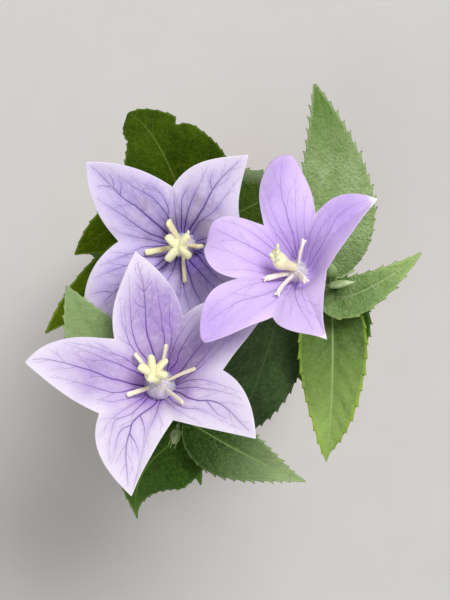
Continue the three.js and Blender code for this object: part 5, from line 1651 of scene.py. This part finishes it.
def build_soil():
    """Crumbly soil: an uneven top under loose bark, peat crumbs and a few pale grains."""
    random = np.random.default_rng(SOIL_SEED)
    edge = pot_inner_radius(SOIL_TOP) - GAP
    foot = POT_FLOOR + GAP
    profile = [(edge * (k + 0.02) / SOIL_RINGS, SOIL_TOP) for k in range(SOIL_RINGS + 1)]
    profile += [(pot_inner_radius(z) - GAP, z) for z in (POT_BAND_FOOT, foot)] + [(0.02, foot)]
    radii, z = np.array(profile).T[:, :, None]
    points = ring_points(radii, z, ring(SOIL_SIDES))
    top = SOIL_RINGS * SOIL_SIDES
    points[:top, 2] += soil_rise(*points[:top, :2].T) + random.normal(0, 0.22, top)
    points[top:top + SOIL_SIDES, 2] -= 1
    parts = [(points, grid_faces(len(z), SOIL_SIDES, wrap=True, flip=True),
              {"tone": [0.3] * len(points)})]
    feet = np.array([path[0][:2] for path in STEM_PATHS.values()])
    for _ in range(CRUMB_COUNT):
        radius = (edge - 1.6) * math.sqrt(random.random())
        x, y = polar(360 * random.random(), radius)
        if np.linalg.norm(feet - (x, y), axis=1).min() < CRUMB_CLEARANCE:
            continue
        kind = random.random()
        bark = kind > 0.85
        size = random.uniform(0.4, 1.2) if kind < 0.85 else random.uniform(1.0, 2.1)
        shade = 1.0 if random.random() < 0.05 else (0.6 if bark else 0.35)
        stretch = (1.6, 0.8, 0.45) if bark else (1, 0.85, 0.7)
        centre = x, y, SOIL_TOP + soil_rise(x, y) + 0.2 * size
        parts.append(crumb_part(centre, size, stretch, shade, random))
    add_piece("soil_crumbs", parts, ["soil"], "potting_soil", flat_from=0)


def crumb_part(centre, size, stretch, tone, random):
    """A rough eight-sided crumb, turned at random."""
    corners = OCTAHEDRON * stretch * size * random.uniform(0.75, 1.25, (6, 1))
    spin = Matrix.Rotation(random.random() * TURN, 3, "Z")
    lean = Matrix.Rotation(random.normal(0, 0.3), 3, "X")
    return corners @ np.array(spin @ lean).T + centre, OCTAHEDRON_FACES, {"tone": [tone] * 6}


# Stage, light and camera

def build_stage():
    """A pale floor."""
    bpy.ops.mesh.primitive_plane_add(size=6)
    floor = bpy.context.object
    floor.name = "floor"
    shader = Shader("floor")
    tone = shader.layers((206, 205, 202), (shader.noise(40), (212, 211, 208)))
    shader.set(Base_Color=tone, Roughness=0.8)
    floor.data.materials.append(shader.material)


def add_area_light(name, place, target, size, power):
    data = bpy.data.lights.new(name, "AREA")
    data.shape = "DISK"
    data.size = size
    data.energy = power
    light = bpy.data.objects.new(name, data)
    light.location = place
    aim = Vector(target) - Vector(place)
    light.rotation_euler = aim.to_track_quat("-Z", "Y").to_euler()
    bpy.context.scene.collection.objects.link(light)


def build_light():
    """Soft light from the upper right of the picture, with a gentle fill from the other side."""
    centre = (0, 0, 0.2)
    add_area_light("key", (0.45, 0.6, 1.5), centre, size=0.7, power=17)
    add_area_light("fill", (-0.9, -0.9, 1.1), centre, size=1.2, power=4)
    world = bpy.data.worlds.new("studio")
    world.use_nodes = True
    background = world.node_tree.nodes["Background"]
    background.inputs["Color"].default_value = (1, 1, 1, 1)
    background.inputs["Strength"].default_value = 0.42
    bpy.context.scene.world = world
    bpy.context.scene.view_settings.view_transform = "Standard"


def build_camera():
    """Straight above the blooms, looking down, with +Y towards the picture's top."""
    data = bpy.data.cameras.new("camera")
    data.sensor_fit = "VERTICAL"
    data.sensor_height = SENSOR_HEIGHT
    data.lens = SENSOR_HEIGHT * FOCAL_PX / FRAME_HEIGHT_PX
    camera = bpy.data.objects.new("camera", data)
    camera.location = [length * MM for length in CAMERA_PLACE]
    bpy.context.scene.collection.objects.link(camera)
    bpy.context.scene.camera = camera


# Assembly

build_pot()
build_soil()
for name in STEM_PATHS:
    build_stem(name)
for number, leaf in enumerate(LEAVES):
    build_leaf(leaf, number)
for number, letter in enumerate(BLOOMS):
    build_corolla(letter)
    build_calyx(letter)
    build_heart(letter, number)
for bud in BUDS:
    build_bud(bud)
build_stage()
build_light()
build_camera()
